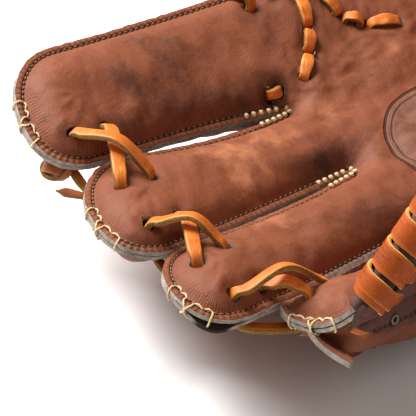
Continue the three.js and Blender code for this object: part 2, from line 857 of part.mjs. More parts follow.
const palm = toManifold(sheetWall(palmSheet, palmHeight, true));
const palmHoles = palmCutters.map(toManifold).reduce((all, next) => all.add(next));
piece('palm_shell', fromManifold(palm.subtract(palmHoles)), 'leather');

const backInset = 0.5 * panelGap;
const openingRow = crotchShare - panelGap / (slitRadius - fanDrop);
const backRows = [...palmRows.filter((down) => down < crotchShare - 1e-6), openingRow];
const thumbRows = palmRows.filter((down) => down > crotchShare - 1e-6);
fanFingers.forEach((finger, index) => {
  const sheet = new Sheet();
  const rows = finger.name === 'little' ? palmRows : backRows;
  sheet.grid(palmGrid(columnCount * index, columnCount * (index + 1), rows, backInset));
  sheet.grid(fingerRings(finger, backInset, sideSteps, tipSteps));
  const wall = toManifold(sheetWall(sheet, backHeight, false));
  const holes = backCutters[finger.name].map(toManifold).reduce((all, next) => all.add(next));
  piece(`back_${finger.name}`, fromManifold(wall.subtract(holes)), 'leather');
});

const thumbBack = new Sheet();
thumbBack.grid(palmGrid(0, columnCount, thumbRows, 0));
thumbBack.grid(fingerRings(thumb, 0, thumbSteps, tipSteps));
piece('back_thumb', sheetWall(thumbBack, backHeight, false), 'leather');

const strapRows = [0, 1, 2, 3].map((row) => mix(strapFrom, strapTo, row / 3));
const strap = new Sheet();
strap.grid(palmGrid(columnCount, 3 * columnCount, strapRows, backInset));
piece('wrist_strap', sheetWall(strap, backHeight, false), 'leather');

const colours = {
  leather: { colour: 0x96553c, roughness: 0.6 },
  web: { colour: 0x4e2a20, roughness: 0.55 },
  lace: { colour: 0xeb8c3c, roughness: 0.65 },
};

const group = new THREE.Group();
for (const { name, geometry, colour } of pieces) {
  const { colour: color, roughness } = colours[colour];
  const mesh = new THREE.Mesh(geometry, new THREE.MeshStandardMaterial({ color, roughness, metalness: 0 }));
  mesh.name = name;
  group.add(mesh);
}

// The part's own origin lies on the floor under the middle of its box
const middle = new THREE.Box3().setFromObject(group).getCenter(new THREE.Vector3());
for (const mesh of group.children) mesh.geometry.translate(-middle.x, -middle.y, 0);
export default group;
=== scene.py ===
"""A fielding glove for the left hand in walnut leather with orange laces, lying on its back.

The glove is worked out as a flat pattern in millimetres: u runs from the thumb to the little
finger, v from the heel to the fingertips, and w stands on the leather. Each surface is a function
of u and v, bent to its broken-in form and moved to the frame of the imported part.
"""
import math

import bpy
import numpy as np
from mathutils import Matrix


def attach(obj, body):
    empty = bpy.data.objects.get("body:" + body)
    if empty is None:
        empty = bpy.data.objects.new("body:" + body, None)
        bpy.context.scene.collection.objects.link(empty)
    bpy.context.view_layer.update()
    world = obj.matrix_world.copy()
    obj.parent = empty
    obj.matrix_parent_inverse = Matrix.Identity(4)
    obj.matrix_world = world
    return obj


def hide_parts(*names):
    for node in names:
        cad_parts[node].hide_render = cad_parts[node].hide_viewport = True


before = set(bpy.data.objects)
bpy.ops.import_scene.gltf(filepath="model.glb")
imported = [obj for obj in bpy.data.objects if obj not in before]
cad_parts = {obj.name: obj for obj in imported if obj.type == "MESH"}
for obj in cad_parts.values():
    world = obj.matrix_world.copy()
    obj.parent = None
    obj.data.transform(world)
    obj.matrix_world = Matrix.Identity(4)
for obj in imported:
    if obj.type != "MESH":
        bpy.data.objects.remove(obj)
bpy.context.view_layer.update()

# Palm leather
# One oiled full-grain hide, cut as the palm with the four finger fronts and the thumb front.
# It is sewn to the back leathers along the whole outline, with both cut edges left raw.

leather = 2.2
seam_gap = 0.4
lip = 3.2
fan_drop = 60
slit_radius = 237
span_radius = 345
# bearings of each seam from the heel, at the slits and at the span radius
seam_bearings = np.radians([[-17.7, -15.6], [-9.4, -7.6], [0, -0.7], [9.4, 8.8], [22.9, 17.6]])
finger_rows = [
    # radius of the tip, depth of the rounded tip, lean of the tip, opening of the slit beyond
    (328, 6, -2, 1.6),
    (350.8, 21.9, -6.6, 1.8),
    (344.8, 23.5, -8.7, 4.5),
    (343.5, 23, -1.6, 0),
]
tip_power = 2.3
heel_left, heel_right, heel_lift, heel_sag, side_bulge = -62, 76, 2, 14, 6
crotch_share = 0.42
thumb_bearing, thumb_length, thumb_width, thumb_round = math.radians(46), 170, 52, 24
palm_puff, palm_softness = 8, 5
hand_depth, tip_depth, back_softness = 28, 8, 7
hand_centre, depth_from, depth_to = 110, 60, 190
sunk_depth, sunk_reach = 6.5, 15.0
bare_starts, bare_ends = (18, 38), (68, 56)
bend_rows = [
    # where the line starts in u and v, bearing of the side bent up, reach, angle
    (0, 146.6, 4.3, 150, 13.1),
    (-29.2, 150, -99.3, 54.1, 82.2),
    (-3.9, 150, 99, 81.9, 30.2),
]
floor_height = -(seam_gap / 2 + leather + hand_depth - 3)
middle = np.array([-3.037, 137.967, 0.0])

# Distances of the mesh's rings from the cut edge, and how many more lie evenly up to the centre
ring_steps = np.array([0, 0.35, 0.8, 1.3, 1.8, 2.25, 2.7, 3.2, 3.9, 4.8, 6.0, 7.6, 9.4, 11.4])
rings_within = 5
ring_count = len(ring_steps) + rings_within - 1
per_finger = 2 * (ring_count - 1)
side_steps, tip_steps, thumb_steps = 70, 44, 110


def mix(a, b, share):
    """The value that lies a share of the way from a to b."""
    return a + (b - a) * share


def unit(vectors):
    """Each vector over its own length."""
    return vectors / np.maximum(np.linalg.norm(vectors, axis=-1, keepdims=True), 1e-12)


def heading(bearing):
    """The direction of a bearing in radians, from v round to u."""
    return np.array([math.sin(bearing), math.cos(bearing)])


def right_of(ahead):
    """Directions of the pattern turned a quarter to the right."""
    return np.stack([ahead[..., 1], -ahead[..., 0]], -1)


def bell(value, centre, width):
    """1 at the centre, falling off as a Gaussian of the width."""
    return np.exp(-((value - centre) / width) ** 2)


def smooth(value, low, high):
    """An S-curve from 0 at low to 1 at high: three squares less two cubes of the share."""
    share = np.clip((value - low) / (high - low), 0, 1)
    return share * share * (3 - 2 * share)


def seam_point(seam, radius):
    """A seam of the fan: the straight line between its points at the slit and span radius."""
    radius = np.asarray(radius, float)
    low, high = seam_bearings[seam]
    a, b = slit_radius * heading(low) - [0, fan_drop], span_radius * heading(high) - [0, fan_drop]
    return mix(a, b, ((radius - slit_radius) / (span_radius - slit_radius))[..., None])


def finger_edge(finger):
    """The two edges of a finger as a function of side and share from its base to its corner.

    Each is its seam, pulled in by half the opening of the slit: a sine of the share to the 0.8.
    """
    tip, rounding, lean, slit = finger_rows[finger]
    left_slit = finger_rows[finger - 1][3] if finger else 0

    def edge(side, share):
        share = np.asarray(share, float)
        corner = tip - rounding + (lean if side else -lean)
        point = seam_point(finger + side, mix(slit_radius, corner, share))
        width = slit if side else left_slit
        opening = 0.5 * width * np.sin(np.pi * np.clip(share, 0, 1) ** 0.8)
        point[..., 0] += -opening if side else opening
        return point

    return edge


def heelward(slit_point, share, down):
    """A point on the way from the slits to the heel line, bulging near the outer side."""
    sag = heel_lift * share - heel_sag * 4 * share * (1 - share)
    heel = np.stack([mix(heel_left, heel_right, share), sag], -1)
    point = mix(slit_point, heel, np.asarray(down)[..., None])
    bulge = side_bulge * np.sin(np.pi * down) * share ** 8
    return point + np.stack([bulge, 0 * bulge], -1)


def palm_point(across, down):
    """A point of the palm: across from 0 at the web to 4 outside, down from slits 0 to heel 1."""
    place = min(3, int(across))
    a, b = seam_point(place, slit_radius), seam_point(place + 1, slit_radius)
    return heelward(mix(a, b, across - place), np.asarray(across / 4), np.asarray(down, float))


crotch, thumb_heel = palm_point(0, crotch_share), palm_point(0, 1)
thumb_ahead = heading(-thumb_bearing)
thumb_side = right_of(thumb_ahead)
thumb_starts = [thumb_heel, crotch]
thumb_ends = [(crotch + thumb_heel) / 2 + thumb_ahead * thumb_length + thumb_side * s * thumb_width / 2
              for s in (-1, 1)]


def thumb_edge(side, share):
    """The thumb's edges: straight lines from the palm's side to the corners of its tip."""
    return mix(thumb_starts[side], thumb_ends[side], np.asarray(share, float)[..., None])


def ring_shares(width):
    """Shares of the width at the ring distances, and then evenly on to a half."""
    width = np.asarray(width, float)[..., None]
    near = ring_steps / width
    further = np.linspace(0, 1, rings_within)[1:]
    return np.concatenate([near, mix(near[..., -1:], 0.5, further)], -1)


def superellipse(angle, power):
    """Cosine and sine of the angles, each to the power of two parts of the given one."""
    x, y = np.cos(angle), np.sin(angle)
    return np.sign(x) * np.abs(x) ** (2 / power), np.sign(y) * np.abs(y) ** (2 / power)


def finger_grid(edge, rounding, inset=0.0, even_base=False, sides=side_steps):
    """Rings round a finger: up one edge, round the tip on a superellipse, down the other."""
    along = np.arange(sides) / sides

    def across(at, share):
        a, b = edge(0, at), edge(1, at)
        pull = inset / np.linalg.norm(b - a, axis=-1)
        return mix(a, b, mix(pull, 1 - pull, share)[..., None])

    def shares_at(at):
        shares = ring_shares(np.linalg.norm(edge(1, at) - edge(0, at), axis=-1))
        if even_base:
            even = np.arange(ring_count) / (2 * (ring_count - 1))
            shares = mix(even, shares, smooth(at, 0, 0.4)[..., None])
        return shares

    shares = shares_at(along)
    one = np.array(1.0)
    middle_line = (edge(0, one) + edge(1, one)) / 2
    behind = (edge(0, np.array(0.9)) + edge(1, np.array(0.9))) / 2
    ahead = unit(middle_line - behind)
    inner = 1 - 2 * shares_at(one)
    swing, bulge = superellipse(np.pi * np.arange(tip_steps + 1) / tip_steps, tip_power)
    rings = []
    for k in range(ring_count):
        tip = across(np.ones(tip_steps + 1), 0.5 - 0.5 * swing * inner[k])
        tip = tip + ahead * ((rounding - inset) * inner[k] * bulge)[:, None]
        rings.append(np.concatenate([across(along, shares[:, k]), tip,
                                     across(along[::-1], 1 - shares[::-1, k])]))
    return np.array(rings)


def palm_grid(first, last, rows, inset=0.0):
    """Columns of the palm from one to another, a finger's ring shares at the slits and even at
    the heel, for each share of the way down."""
    columns = np.arange(first, last + 1)
    place = np.minimum(3, columns // per_finger)
    part = columns - per_finger * place
    a = np.array([seam_point(p, slit_radius) for p in place])
    b = np.array([seam_point(p + 1, slit_radius) for p in place])
    width = np.linalg.norm(b - a, axis=-1)
    shares = ring_shares(width)
    k = np.minimum(part, per_finger - part)
    share = np.take_along_axis(shares, k[:, None], 1)[:, 0]
    share = np.where(part < per_finger / 2, share, 1 - share)
    side = (columns == first).astype(float) - (columns == last)
    pull = inset / width
    top = mix(a, b, mix(pull, 1 - pull, share)[:, None])
    heel_share = columns / (4 * per_finger) + side * inset / (heel_right - heel_left)
    return np.array([heelward(top, heel_share, np.full(len(columns), down)) for down in rows])


upper_rows = np.linspace(0, crotch_share, 56)
lower_rows = np.linspace(crotch_share, 1, per_finger + 1)
palm_rows = np.concatenate([upper_rows, lower_rows[1:]])
finger_edges = [finger_edge(i) for i in range(4)]
roundings = [row[1] for row in finger_rows]

palm_body = palm_grid(0, 4 * per_finger, palm_rows)
finger_fronts = [finger_grid(finger_edges[i], roundings[i]) for i in range(4)]
thumb_front = finger_grid(thumb_edge, thumb_round, even_base=True, sides=thumb_steps)

# The cut outline in order, from the heel round by the little finger and the thumb
outline = np.concatenate([
    palm_body[-1, :-1], palm_body[:0:-1, -1],
    *[finger_fronts[i][0, ::-1][:-1] for i in (3, 2, 1, 0)],
    palm_body[:len(upper_rows) - 1, 0], thumb_front[0, ::-1],
])
heel_steps = palm_body.shape[1] - 1


def nearest(points, line, skip=0):
    """Distance from each point to a polyline and the arc length of the nearest place on it."""
    a, b = line[:-1], line[1:]
    step = b - a
    length = np.linalg.norm(step, axis=1)
    keep = (length > 1e-6) & (np.arange(len(length)) >= skip)
    start = np.concatenate([[0], np.cumsum(length)])[:-1][keep]
    a, step, length = a[keep], step[keep], length[keep]
    flat = points.reshape(-1, 2)
    far, at = np.empty(len(flat)), np.empty(len(flat))
    for low in range(0, len(flat), 3000):
        part = flat[low:low + 3000]
        away = part[:, None] - a[None]
        share = np.clip((away * step).sum(-1) / length ** 2, 0, 1)
        gap = np.linalg.norm(away - step * share[..., None], axis=-1)
        best = gap.argmin(1)
        pick = np.arange(len(part))
        far[low:low + 3000] = gap[pick, best]
        at[low:low + 3000] = start[best] + share[pick, best] * length[best]
    return far.reshape(points.shape[:-1]), at.reshape(points.shape[:-1])


coarse_outline = outline[::2] if len(outline) % 2 else np.concatenate([outline[::2], outline[-1:]])


def fullness(inside, softness):
    """Nothing up to the lip, then 1 less an exponential of the way in."""
    return np.where(inside <= lip, 0, 1 - np.exp((lip - np.maximum(inside, lip)) / softness))


def beside_slit(points):
    """By the slit of the index and middle fingers: the share of its bare stretch, and the
    distance across from its line."""
    start = seam_point(1, slit_radius)
    ahead = unit(seam_point(1, span_radius) - start)
    along, across = (points - start) @ ahead, (points - start) @ right_of(ahead)
    return smooth(along, *bare_starts) * smooth(along, *bare_ends), across


def sunk(points):
    """How far the index finger sinks beside the middle finger, whose cut edges there stand bare."""
    stretch, across = beside_slit(points)
    return sunk_depth * stretch * (across < 0) * bell(across, 0, sunk_reach)


def palm_height(points, far=None):
    """Height of the palm's face: the seam, the leather and the puff times the fullness."""
    far = nearest(points, coarse_outline)[0] if far is None else far
    return seam_gap / 2 + leather + palm_puff * fullness(far, palm_softness) - sunk(points)


def hand_fullness(points, far):
    """How full the back stands: deep over the hand, shallow at the tips, times the fullness."""
    away = np.hypot(points[..., 0], points[..., 1] - hand_centre)
    return mix(hand_depth, tip_depth, smooth(away, depth_from, depth_to)) * fullness(far, back_softness)


def back_height(points, far=None):
    """Height of the back's face: the seam, the leather and the hand."""
    far = nearest(points, coarse_outline, heel_steps // 2)[0] if far is None else far
    return -(seam_gap / 2 + leather + hand_fullness(points, far)) - sunk(points)


def formed(points, height):
    """Rolls the pattern about three lines, then presses it flat on the floor; millimetres."""
    place = np.concatenate([points, np.asarray(height)[..., None]], -1)
    for u, v, bearing, reach, angle in bend_rows:
        d = heading(math.radians(bearing))
        flat = place[..., :2] - [u, v]
        x = flat @ d
        y = flat[..., 1] * d[0] - flat[..., 0] * d[1]
        full = math.radians(angle)
        radius = reach / full
        turn = np.clip(x / radius, 0, full)
        beyond = x - turn * radius
        high = radius - place[..., 2]
        out = high * np.sin(turn) + beyond * np.cos(turn)
        up = radius - high * np.cos(turn) + beyond * np.sin(turn)
        rolled = np.stack([u + out * d[0] - y * d[1], v + out * d[1] + y * d[0], up], -1)
        place = np.where((x > 0)[..., None], rolled, place)
    place[..., 2] = np.maximum(place[..., 2] - floor_height, 0)
    return place - middle


def on_face(height, up, step=2.5):
    """The place and outward normal of a face at pattern points, by central differences."""
    def at(points):
        points = np.asarray(points, float)

        def moved(du, dv):
            there = points + [du, dv]
            return formed(there, height(there))

        normal = np.cross(moved(step, 0) - moved(-step, 0), moved(0, step) - moved(0, -step))
        return moved(0, 0), unit(normal) * (1 if up else -1)
    return at


on_palm, on_back = on_face(palm_height, True), on_face(back_height, False)


def finger_point(finger, across, along):
    """A point of a finger: across from 0 at its thumb side to 1, along from slit to tip."""
    radius = mix(slit_radius, finger_rows[finger][0], along)
    return mix(seam_point(finger, radius), seam_point(finger + 1, radius), across)


def wander(points, size, seed):
    """Smooth random relief: plane waves of about one size in seeded directions, added."""
    count = 26
    random = np.random.default_rng(seed)
    turn = random.uniform(0, 2 * np.pi, count)
    rate = 2 * np.pi / (size * random.uniform(0.7, 1.6, count))
    wave = np.stack([np.cos(turn), np.sin(turn)]) * rate
    phase = random.uniform(0, 2 * np.pi, count)
    return np.sin(points @ wave + phase).sum(-1) * math.sqrt(2 / count)


def halved(ids):
    """Two triangles for each cell of a grid of point numbers."""
    a, b, c, d = ids[:-1, :-1], ids[:-1, 1:], ids[1:, 1:], ids[1:, :-1]
    return np.concatenate([np.stack(half, -1).reshape(-1, 3) for half in ([a, b, c], [a, c, d])])


def joined(grids):
    """Merges the equal points of several grids and splits their cells into triangles."""
    cells, start = [], 0
    for grid in grids:
        ids = start + np.arange(grid.shape[0] * grid.shape[1]).reshape(grid.shape[:2])
        cells.append(halved(ids))
        start += ids.size
    points = np.concatenate([grid.reshape(-1, 2) for grid in grids])
    _, first, same = np.unique(np.round(points * 200).astype(int), axis=0,
                               return_index=True, return_inverse=True)
    points = points[first]
    faces = same.reshape(-1)[np.concatenate(cells)]
    p, q, r = points[faces[:, 0]], points[faces[:, 1]], points[faces[:, 2]]
    area = (q[:, 0] - p[:, 0]) * (r[:, 1] - p[:, 1]) - (q[:, 1] - p[:, 1]) * (r[:, 0] - p[:, 0])
    faces, area = faces[np.abs(area) > 1e-5], area[np.abs(area) > 1e-5]
    return points, np.where((area > 0)[:, None], faces, faces[:, ::-1])


def punched(points, faces, holes, radius):
    """Drops the faces inside round holes and pulls the cut's corners onto the circles."""
    if not len(holes):
        return points, faces
    holes = np.asarray(holes, float)

    def to_hole(p):
        away = p[:, None] - holes[None]
        gap = np.linalg.norm(away, axis=-1)
        best = gap.argmin(1)
        pick = np.arange(len(p))
        return gap[pick, best], away[pick, best], best

    gap, _, _ = to_hole(points[faces].mean(1))
    kept, cut = faces[gap > radius], faces[gap <= radius]
    rim = np.intersect1d(kept, cut)
    gap, away, best = to_hole(points[rim])
    points = points.copy()
    points[rim] = holes[best] + away * (radius / np.maximum(gap, 1e-3))[:, None]
    used, faces = np.unique(kept, return_inverse=True)
    return points[used], faces.reshape(-1, 3)


def open_edges(faces):
    """Directed edges that only one face has."""
    edges = np.concatenate([faces[:, [0, 1]], faces[:, [1, 2]], faces[:, [2, 0]]])
    top = edges.max() + 1
    code, back = edges[:, 0] * top + edges[:, 1], edges[:, 1] * top + edges[:, 0]
    return edges[~np.isin(code, back)]


def vertex_normals(place, faces):
    """Unit sums of the face normals round each point, weighted by area."""
    a, b, c = place[faces[:, 0]], place[faces[:, 1]], place[faces[:, 2]]
    face = np.cross(b - a, c - a)
    total = np.zeros_like(place)
    for k in range(3):
        for axis in range(3):
            total[:, axis] += np.bincount(faces[:, k], face[:, axis], len(place))
    return unit(total)


def new_piece(name, place, faces, materials, node_names, part=None, facts=None):
    """Puts millimetre points and triangles into a mesh, with smooth shading and sharp borders
    between its materials, and hands it to the frame in the place of the named nodes."""
    mesh = bpy.data.meshes.new(name)
    mesh.vertices.add(len(place))
    mesh.vertices.foreach_set("co", (np.asarray(place) / 1000).astype(np.float32).ravel())
    mesh.loops.add(faces.size)
    mesh.loops.foreach_set("vertex_index", faces.astype(np.int32).ravel())
    mesh.polygons.add(len(faces))
    mesh.polygons.foreach_set("loop_start", np.arange(0, faces.size, 3, dtype=np.int32))
    mesh.polygons.foreach_set("loop_total", np.full(len(faces), 3, np.int32))
    mesh.polygons.foreach_set("use_smooth", np.ones(len(faces), bool))
    if part is not None:
        mesh.polygons.foreach_set("material_index", part.astype(np.int32))
    mesh.update(calc_edges=True)
    for key, values in (facts or {}).items():
        layer = mesh.attributes.new(key, "FLOAT", "POINT")
        layer.data.foreach_set("value", values.astype(np.float32))
    if part is not None:
        edge_of = np.empty(len(mesh.loops), np.int32)
        mesh.loops.foreach_get("edge_index", edge_of)
        low = np.full(len(mesh.edges), 99)
        high = np.full(len(mesh.edges), -1)
        np.minimum.at(low, edge_of, np.repeat(part, 3))
        np.maximum.at(high, edge_of, np.repeat(part, 3))
        layer = mesh.attributes.new("sharp_edge", "BOOLEAN", "EDGE")
        layer.data.foreach_set("value", (low != high))
    for material in materials:
        mesh.materials.append(material)
    piece = bpy.data.objects.new(name, mesh)
    bpy.context.scene.collection.objects.link(piece)
    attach(piece, "root")
    if node_names:
        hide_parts(*node_names)
    return piece


def wall(place, relief, faces, thickness, inner_relief=0.0):
    """A wall: the outer face raised by its relief, an inner face a thickness behind, and a rim."""
    normals = vertex_normals(place, faces)
    outer = place + normals * np.asarray(relief)[:, None]
    inner = place - normals * (thickness - np.broadcast_to(inner_relief, len(place))[:, None])
    count = len(place)
    rim = open_edges(faces)
    a, b = rim.T
    sides = np.concatenate([np.stack([b, a, a + count], -1), np.stack([b, a + count, b + count], -1)])
    part = np.repeat([0, 1, 2], [len(faces), len(faces), len(sides)])
    return (np.concatenate([outer, inner]),
            np.concatenate([faces, faces[:, ::-1] + count, sides]), part)


class Socket:
    """One output of a material's nodes; + - * / and ** with others add its Math nodes."""

    def __init__(self, tree, socket):
        self.tree, self.socket = tree, socket

    def math(self, operation, *others, clamp=False):
        settings = {"operation": operation, "use_clamp": clamp}
        return self.add("ShaderNodeMath", settings, dict(enumerate((self,) + others)))

    def add(self, kind, settings=None, values=None, output=0):
        """A node of a type, its settings made first, then the values or links of its sockets."""
        node = self.tree.nodes.new(kind)
        for key, value in (settings or {}).items():
            if key == "stops":
                ramp = node.color_ramp
                while len(ramp.elements) < len(value):
                    ramp.elements.new(0.5)
                for element, (position, colour) in zip(ramp.elements, value):
                    element.position, element.color = position, (*colour, 1)
            else:
                setattr(node, key, value)
        for key, value in (values or {}).items():
            if isinstance(value, Socket):
                self.tree.links.new(value.socket, node.inputs[key])
            else:
                node.inputs[key].default_value = value
        return Socket(self.tree, node.outputs[output])

    def __add__(self, other): return self.math("ADD", other)
    def __sub__(self, other): return self.math("SUBTRACT", other)
    def __mul__(self, other): return self.math("MULTIPLY", other)
    def __truediv__(self, other): return self.math("DIVIDE", other)
    def __pow__(self, other): return self.math("POWER", other)
    def __rsub__(self, other): return (self * -1) + other
    __radd__ = __add__
    __rmul__ = __mul__

    def clamped(self):
        return self.math("ADD", 0.0, clamp=True)

    def ramp(self, *stops):
        """A colour read off stops of place and colour."""
        return self.add("ShaderNodeValToRGB", {"stops": stops}, {0: self})

    def step(self, low, high):
        """0 below low, 1 above high, smooth between; with high below low it falls instead."""
        ends = {1: low, 2: high} if low < high else {1: high, 2: low, 3: 1.0, 4: 0.0}
        return self.add("ShaderNodeMapRange", {"interpolation_type": "SMOOTHSTEP"}, {0: self, **ends})

    def noise(self, scale, detail=2.0, roughness=0.5, distortion=0.0):
        return self.add("ShaderNodeTexNoise", {}, {"Vector": self, "Scale": scale, "Detail": detail,
                                                   "Roughness": roughness, "Distortion": distortion})

    def cells(self, scale):
        return self.add("ShaderNodeTexVoronoi", {"feature": "F1"}, {"Vector": self, "Scale": scale})

    def tint(self, other, share):
        """This colour mixed with another by a share."""
        settings = {"data_type": "RGBA", "blend_type": "MIX"}
        values = {0: share, 6: self, 7: other if isinstance(other, Socket) else (*other, 1)}
        return self.add("ShaderNodeMix", settings, values, output=2)


def start_material(name):
    """A new material: its Object coordinates, and its surface shader's node."""
    material = bpy.data.materials.new(name)
    material.use_nodes = True
    tree = material.node_tree
    place = tree.nodes.new("ShaderNodeTexCoord")
    return material, Socket(tree, place.outputs["Object"]), tree.nodes["Principled BSDF"]


def finish_material(shader, source, colour, roughness, height=None, depth=0.0002, **fixed):
    """Links colour, roughness and bump, and sets the fixed values on the shader's own sockets."""
    tree = source.tree
    for key, value in (("Base Color", colour), ("Roughness", roughness)):
        if isinstance(value, Socket):
            tree.links.new(value.socket, shader.inputs[key])
        else:
            shader.inputs[key].default_value = value if key == "Roughness" else (*value, 1)
    if height is not None:
        bump = source.add("ShaderNodeBump", {}, {"Strength": 1.0, "Distance": depth, "Height": height})
        tree.links.new(bump.socket, shader.inputs["Normal"])
    for key, value in fixed.items():
        shader.inputs[key].default_value = value


def attribute(source, name):
    return source.add("ShaderNodeAttribute", {"attribute_name": name}, output=2)


stitch_inset, stitch_pitch = 2.5, 2.6
pleat_rate = 4.3
needle_hole_shade, bare_grey, oval_tone_and_sheen = (0.004, 0.002, 0.002), (0.42, 0.36, 0.31), (0.20, 0.115, 0.085)


def grain_side(name, light, mid, dark, stamp=None):
    """Oiled full-grain leather: mottled colour, patches of painted shade and light read from the shade
    attribute, pores, short pleats along the gathered tips with painted shade in their troughs, and a
    rough border outside a row of needle holes, with painted shade in the holes and along their groove."""
    material, place, shader = start_material(name)
    inset, run, shade, tips = (attribute(place, key) for key in ("inset", "run", "shade", "tips"))
    broad = place.noise(20, 3, 0.55, 0.5)
    patch = place.noise(55, 4, 0.62, 0.8)
    fine = place.noise(420, 4, 0.65)
    grain = place.noise(1500, 3, 0.7)
    pores = place.cells(850)
    tone = broad * 1.25 + patch * 0.9 + fine * 0.3 - 0.71
    tone = tone.math("ADD", shade * (broad + patch * 0.9), clamp=True)
    colour = tone.ramp((0.0, dark), (0.40, mid), (0.60, mid), (1.0, light))
    drawn_out = {"Vector": place, "Rotation": (0.2, 0.1, 0.5), "Scale": (1, 0.25, 1)}
    streak = place.add("ShaderNodeMapping", {}, drawn_out).noise(130, 5, 0.7, 1.4)
    colour = colour.tint(dark, streak.step(0.55, 0.74) * 0.5)
    colour = colour.tint(dark, pores.step(0.18, 0.02) * 0.25)
    height = fine * 0.9 + pores.step(0.0, 0.35) * 0.2 + streak * 0.5 + grain * 0.6
    rough = 0.50 + fine * 0.16 + patch * 0.12
    between = (run * (2 * math.pi / stitch_pitch)).math("COSINE")
    row = (inset - stitch_inset).math("ABSOLUTE")
    border = inset.step(2.3, 1.8)
    # painted shade along the stitches' groove, and in the needle holes
    colour = colour.tint(dark, row.step(0.9, 0.2) * 0.4)
    colour = colour.tint(needle_hole_shade, row.step(0.55, 0.3) * between.step(0.72, 0.9))
    colour = colour.tint(tuple(1.3 * c for c in mid), border * fine.step(0.4, 0.6) * 0.5)
    colour = colour.tint(dark, inset.step(0.6, 0.05) * 0.5)
    colour = colour.tint(bare_grey, attribute(place, "bare") * border * (0.55 + fine * 0.6))
    height = height + border * (fine * 1.6 - between * 0.5)
    height = height - row.step(0.55, 0.2) * between.step(0.5, 0.9) * 2.0
    pleat = (run * pleat_rate + patch * 14).math("SINE")
    near = inset.step(2.9, 3.6) * inset.step(8.5, 4.0) * tips * patch.step(0.38, 0.62)
    height = height + pleat * near * 0.34
    # painted shade in the pleats' troughs
    colour = colour.tint(dark, near * pleat.step(0.1, -0.9) * 0.22)
    if stamp:
        # a pressed oval of centre, bearing and half sizes: two fine lines round a polished field, whose
        # pale grey tint is partly its own tone and partly a painted sheen
        (cu, cv), bearing, half_long, half_wide = stamp
        u, v = attribute(place, "u"), attribute(place, "v")
        along, across = map(float, heading(math.radians(bearing)))
        x = ((u - cu) * along + (v - cv) * across) / half_long
        y = ((u - cu) * across - (v - cv) * along) / half_wide
        oval = (x * x + y * y) ** 0.5
        line = (((oval - 1) * half_wide).math("ABSOLUTE").step(0.85, 0.35)
                + ((oval - 0.87) * half_wide).math("ABSOLUTE").step(0.55, 0.25) * 0.7)
        field = oval.step(1.0, 0.96)
        colour = colour.tint(oval_tone_and_sheen, field * (0.25 + fine * 0.45))
        colour = colour.tint(dark, line * 0.75)
        height = height - line * 1.6 - field * 0.8
        rough = rough - field * 0.08
    finish_material(shader, place, colour, rough, height, 0.00025, **{"Specular IOR Level": 0.30})
    return material


def flesh_side(name, light, dark):
    """The napped inner side of the hide: short fibres in two close tones."""
    material, place, shader = start_material(name)
    nap = place.noise(700, 6, 0.75)
    cloud = place.noise(90, 3, 0.6)
    colour = (nap * 0.7 + cloud * 0.6 - 0.15).clamped().ramp((0.2, dark), (0.85, light))
    colour = colour.tint((0.030, 0.013, 0.008), attribute(place, "shade").step(-0.15, -0.6))
    finish_material(shader, place, colour, 0.95, nap, 0.0005)
    return material


def raw_edge(name, light, dark):
    """A cut edge of the hide: grey fibre in thin layers, with painted shade on it away from the
    fingertips and where the shade attribute runs deep.
    """
    material, place, shader = start_material(name)
    fibre = place.noise(1100, 5, 0.8)
    cloud = place.noise(190, 4, 0.65)
    colour = (fibre * 1.3 + cloud * 1.1 - 0.75).clamped().ramp((0.1, dark), (0.85, light))
    # painted shade on the cut edges away from the fingertips, where they stand in the slits
    colour = colour.tint(dark, (1 - attribute(place, "tips")) * 0.3)
    colour = colour.tint((0.035, 0.016, 0.010), attribute(place, "shade").step(-0.55, -0.9))
    finish_material(shader, place, colour, 0.95, fibre + cloud, 0.0007, **{"Specular IOR Level": 0.2})
    return material


walnut_tones = (0.46, 0.168, 0.068), (0.205, 0.056, 0.021), (0.043, 0.0115, 0.0052)
walnut = [grain_side("walnut_grain", *walnut_tones),
          flesh_side("walnut_flesh", (0.42, 0.33, 0.26), (0.22, 0.15, 0.11)),
          raw_edge("walnut_edge", (0.60, 0.52, 0.43), (0.13, 0.10, 0.08))]
oval_stamp = (-7.0, 139.0), -39.0, 28.0, 20.0
palm_hide = [grain_side("palm_grain", *walnut_tones, stamp=oval_stamp), *walnut[1:]]

# Painted shade in soft dark folds and painted light on the crowns, partly the burnish of wear: u, v,
# bearing, length, width and amount
light_shade_and_burnish_rows = [
    (7, 186, 2, 21, 9, -0.58),
    (17, 157, 20, 17, 13, 0.05),
    (86, 243, 10, 16, 8, 0.16),
    (-30, 199, 20, 14, 9, -0.34),
    (-12, 206, -4, 30, 7, -0.14),
    (-27, 232, -6, 36, 9, -0.24),
    (-28, 170, 30, 26, 9, -0.20),
    (79, 234, 49, 15, 5, -0.30),
    (58, 222, 10, 26, 6, -0.22),
    (76, 208, 0, 14, 8, -0.10),
    (50, 192, 10, 18, 9, -0.26),
    (16, 240, 0, 34, 8, 0.06),
    (66, 250, 20, 18, 8, 0.10),
    (40, 160, 60, 22, 10, 0.06),
]


def light_shade_and_burnish(points):
    """The sum of soft elliptical patches of painted shade and light, partly burnish, each a Gaussian of
    its length and width.
    """
    total = np.zeros(points.shape[:-1])
    for u, v, bearing, length, width, amount in light_shade_and_burnish_rows:
        ahead = heading(math.radians(bearing))
        away = points - [u, v]
        total += amount * bell(away @ ahead, 0, length) * bell(away @ right_of(ahead), 0, width)
    return total


far_off = 99.0


def hole_gap(points, holes):
    """Distance from each point to the nearest of the holes."""
    if not len(holes):
        return np.full(len(points), far_off)
    return np.linalg.norm(points[:, None] - np.asarray(holes, float)[None], axis=-1).min(1)


gathered_from, gathered_to, bare_reach = 296, 325, 5
# painted shade in the dip round each lace hole, and a darkening towards the cut edge: height, centre and
# width
hole_shade, edge_darkening = [(-0.36, 0, 3.2)], [(-0.10, 0, 5)]


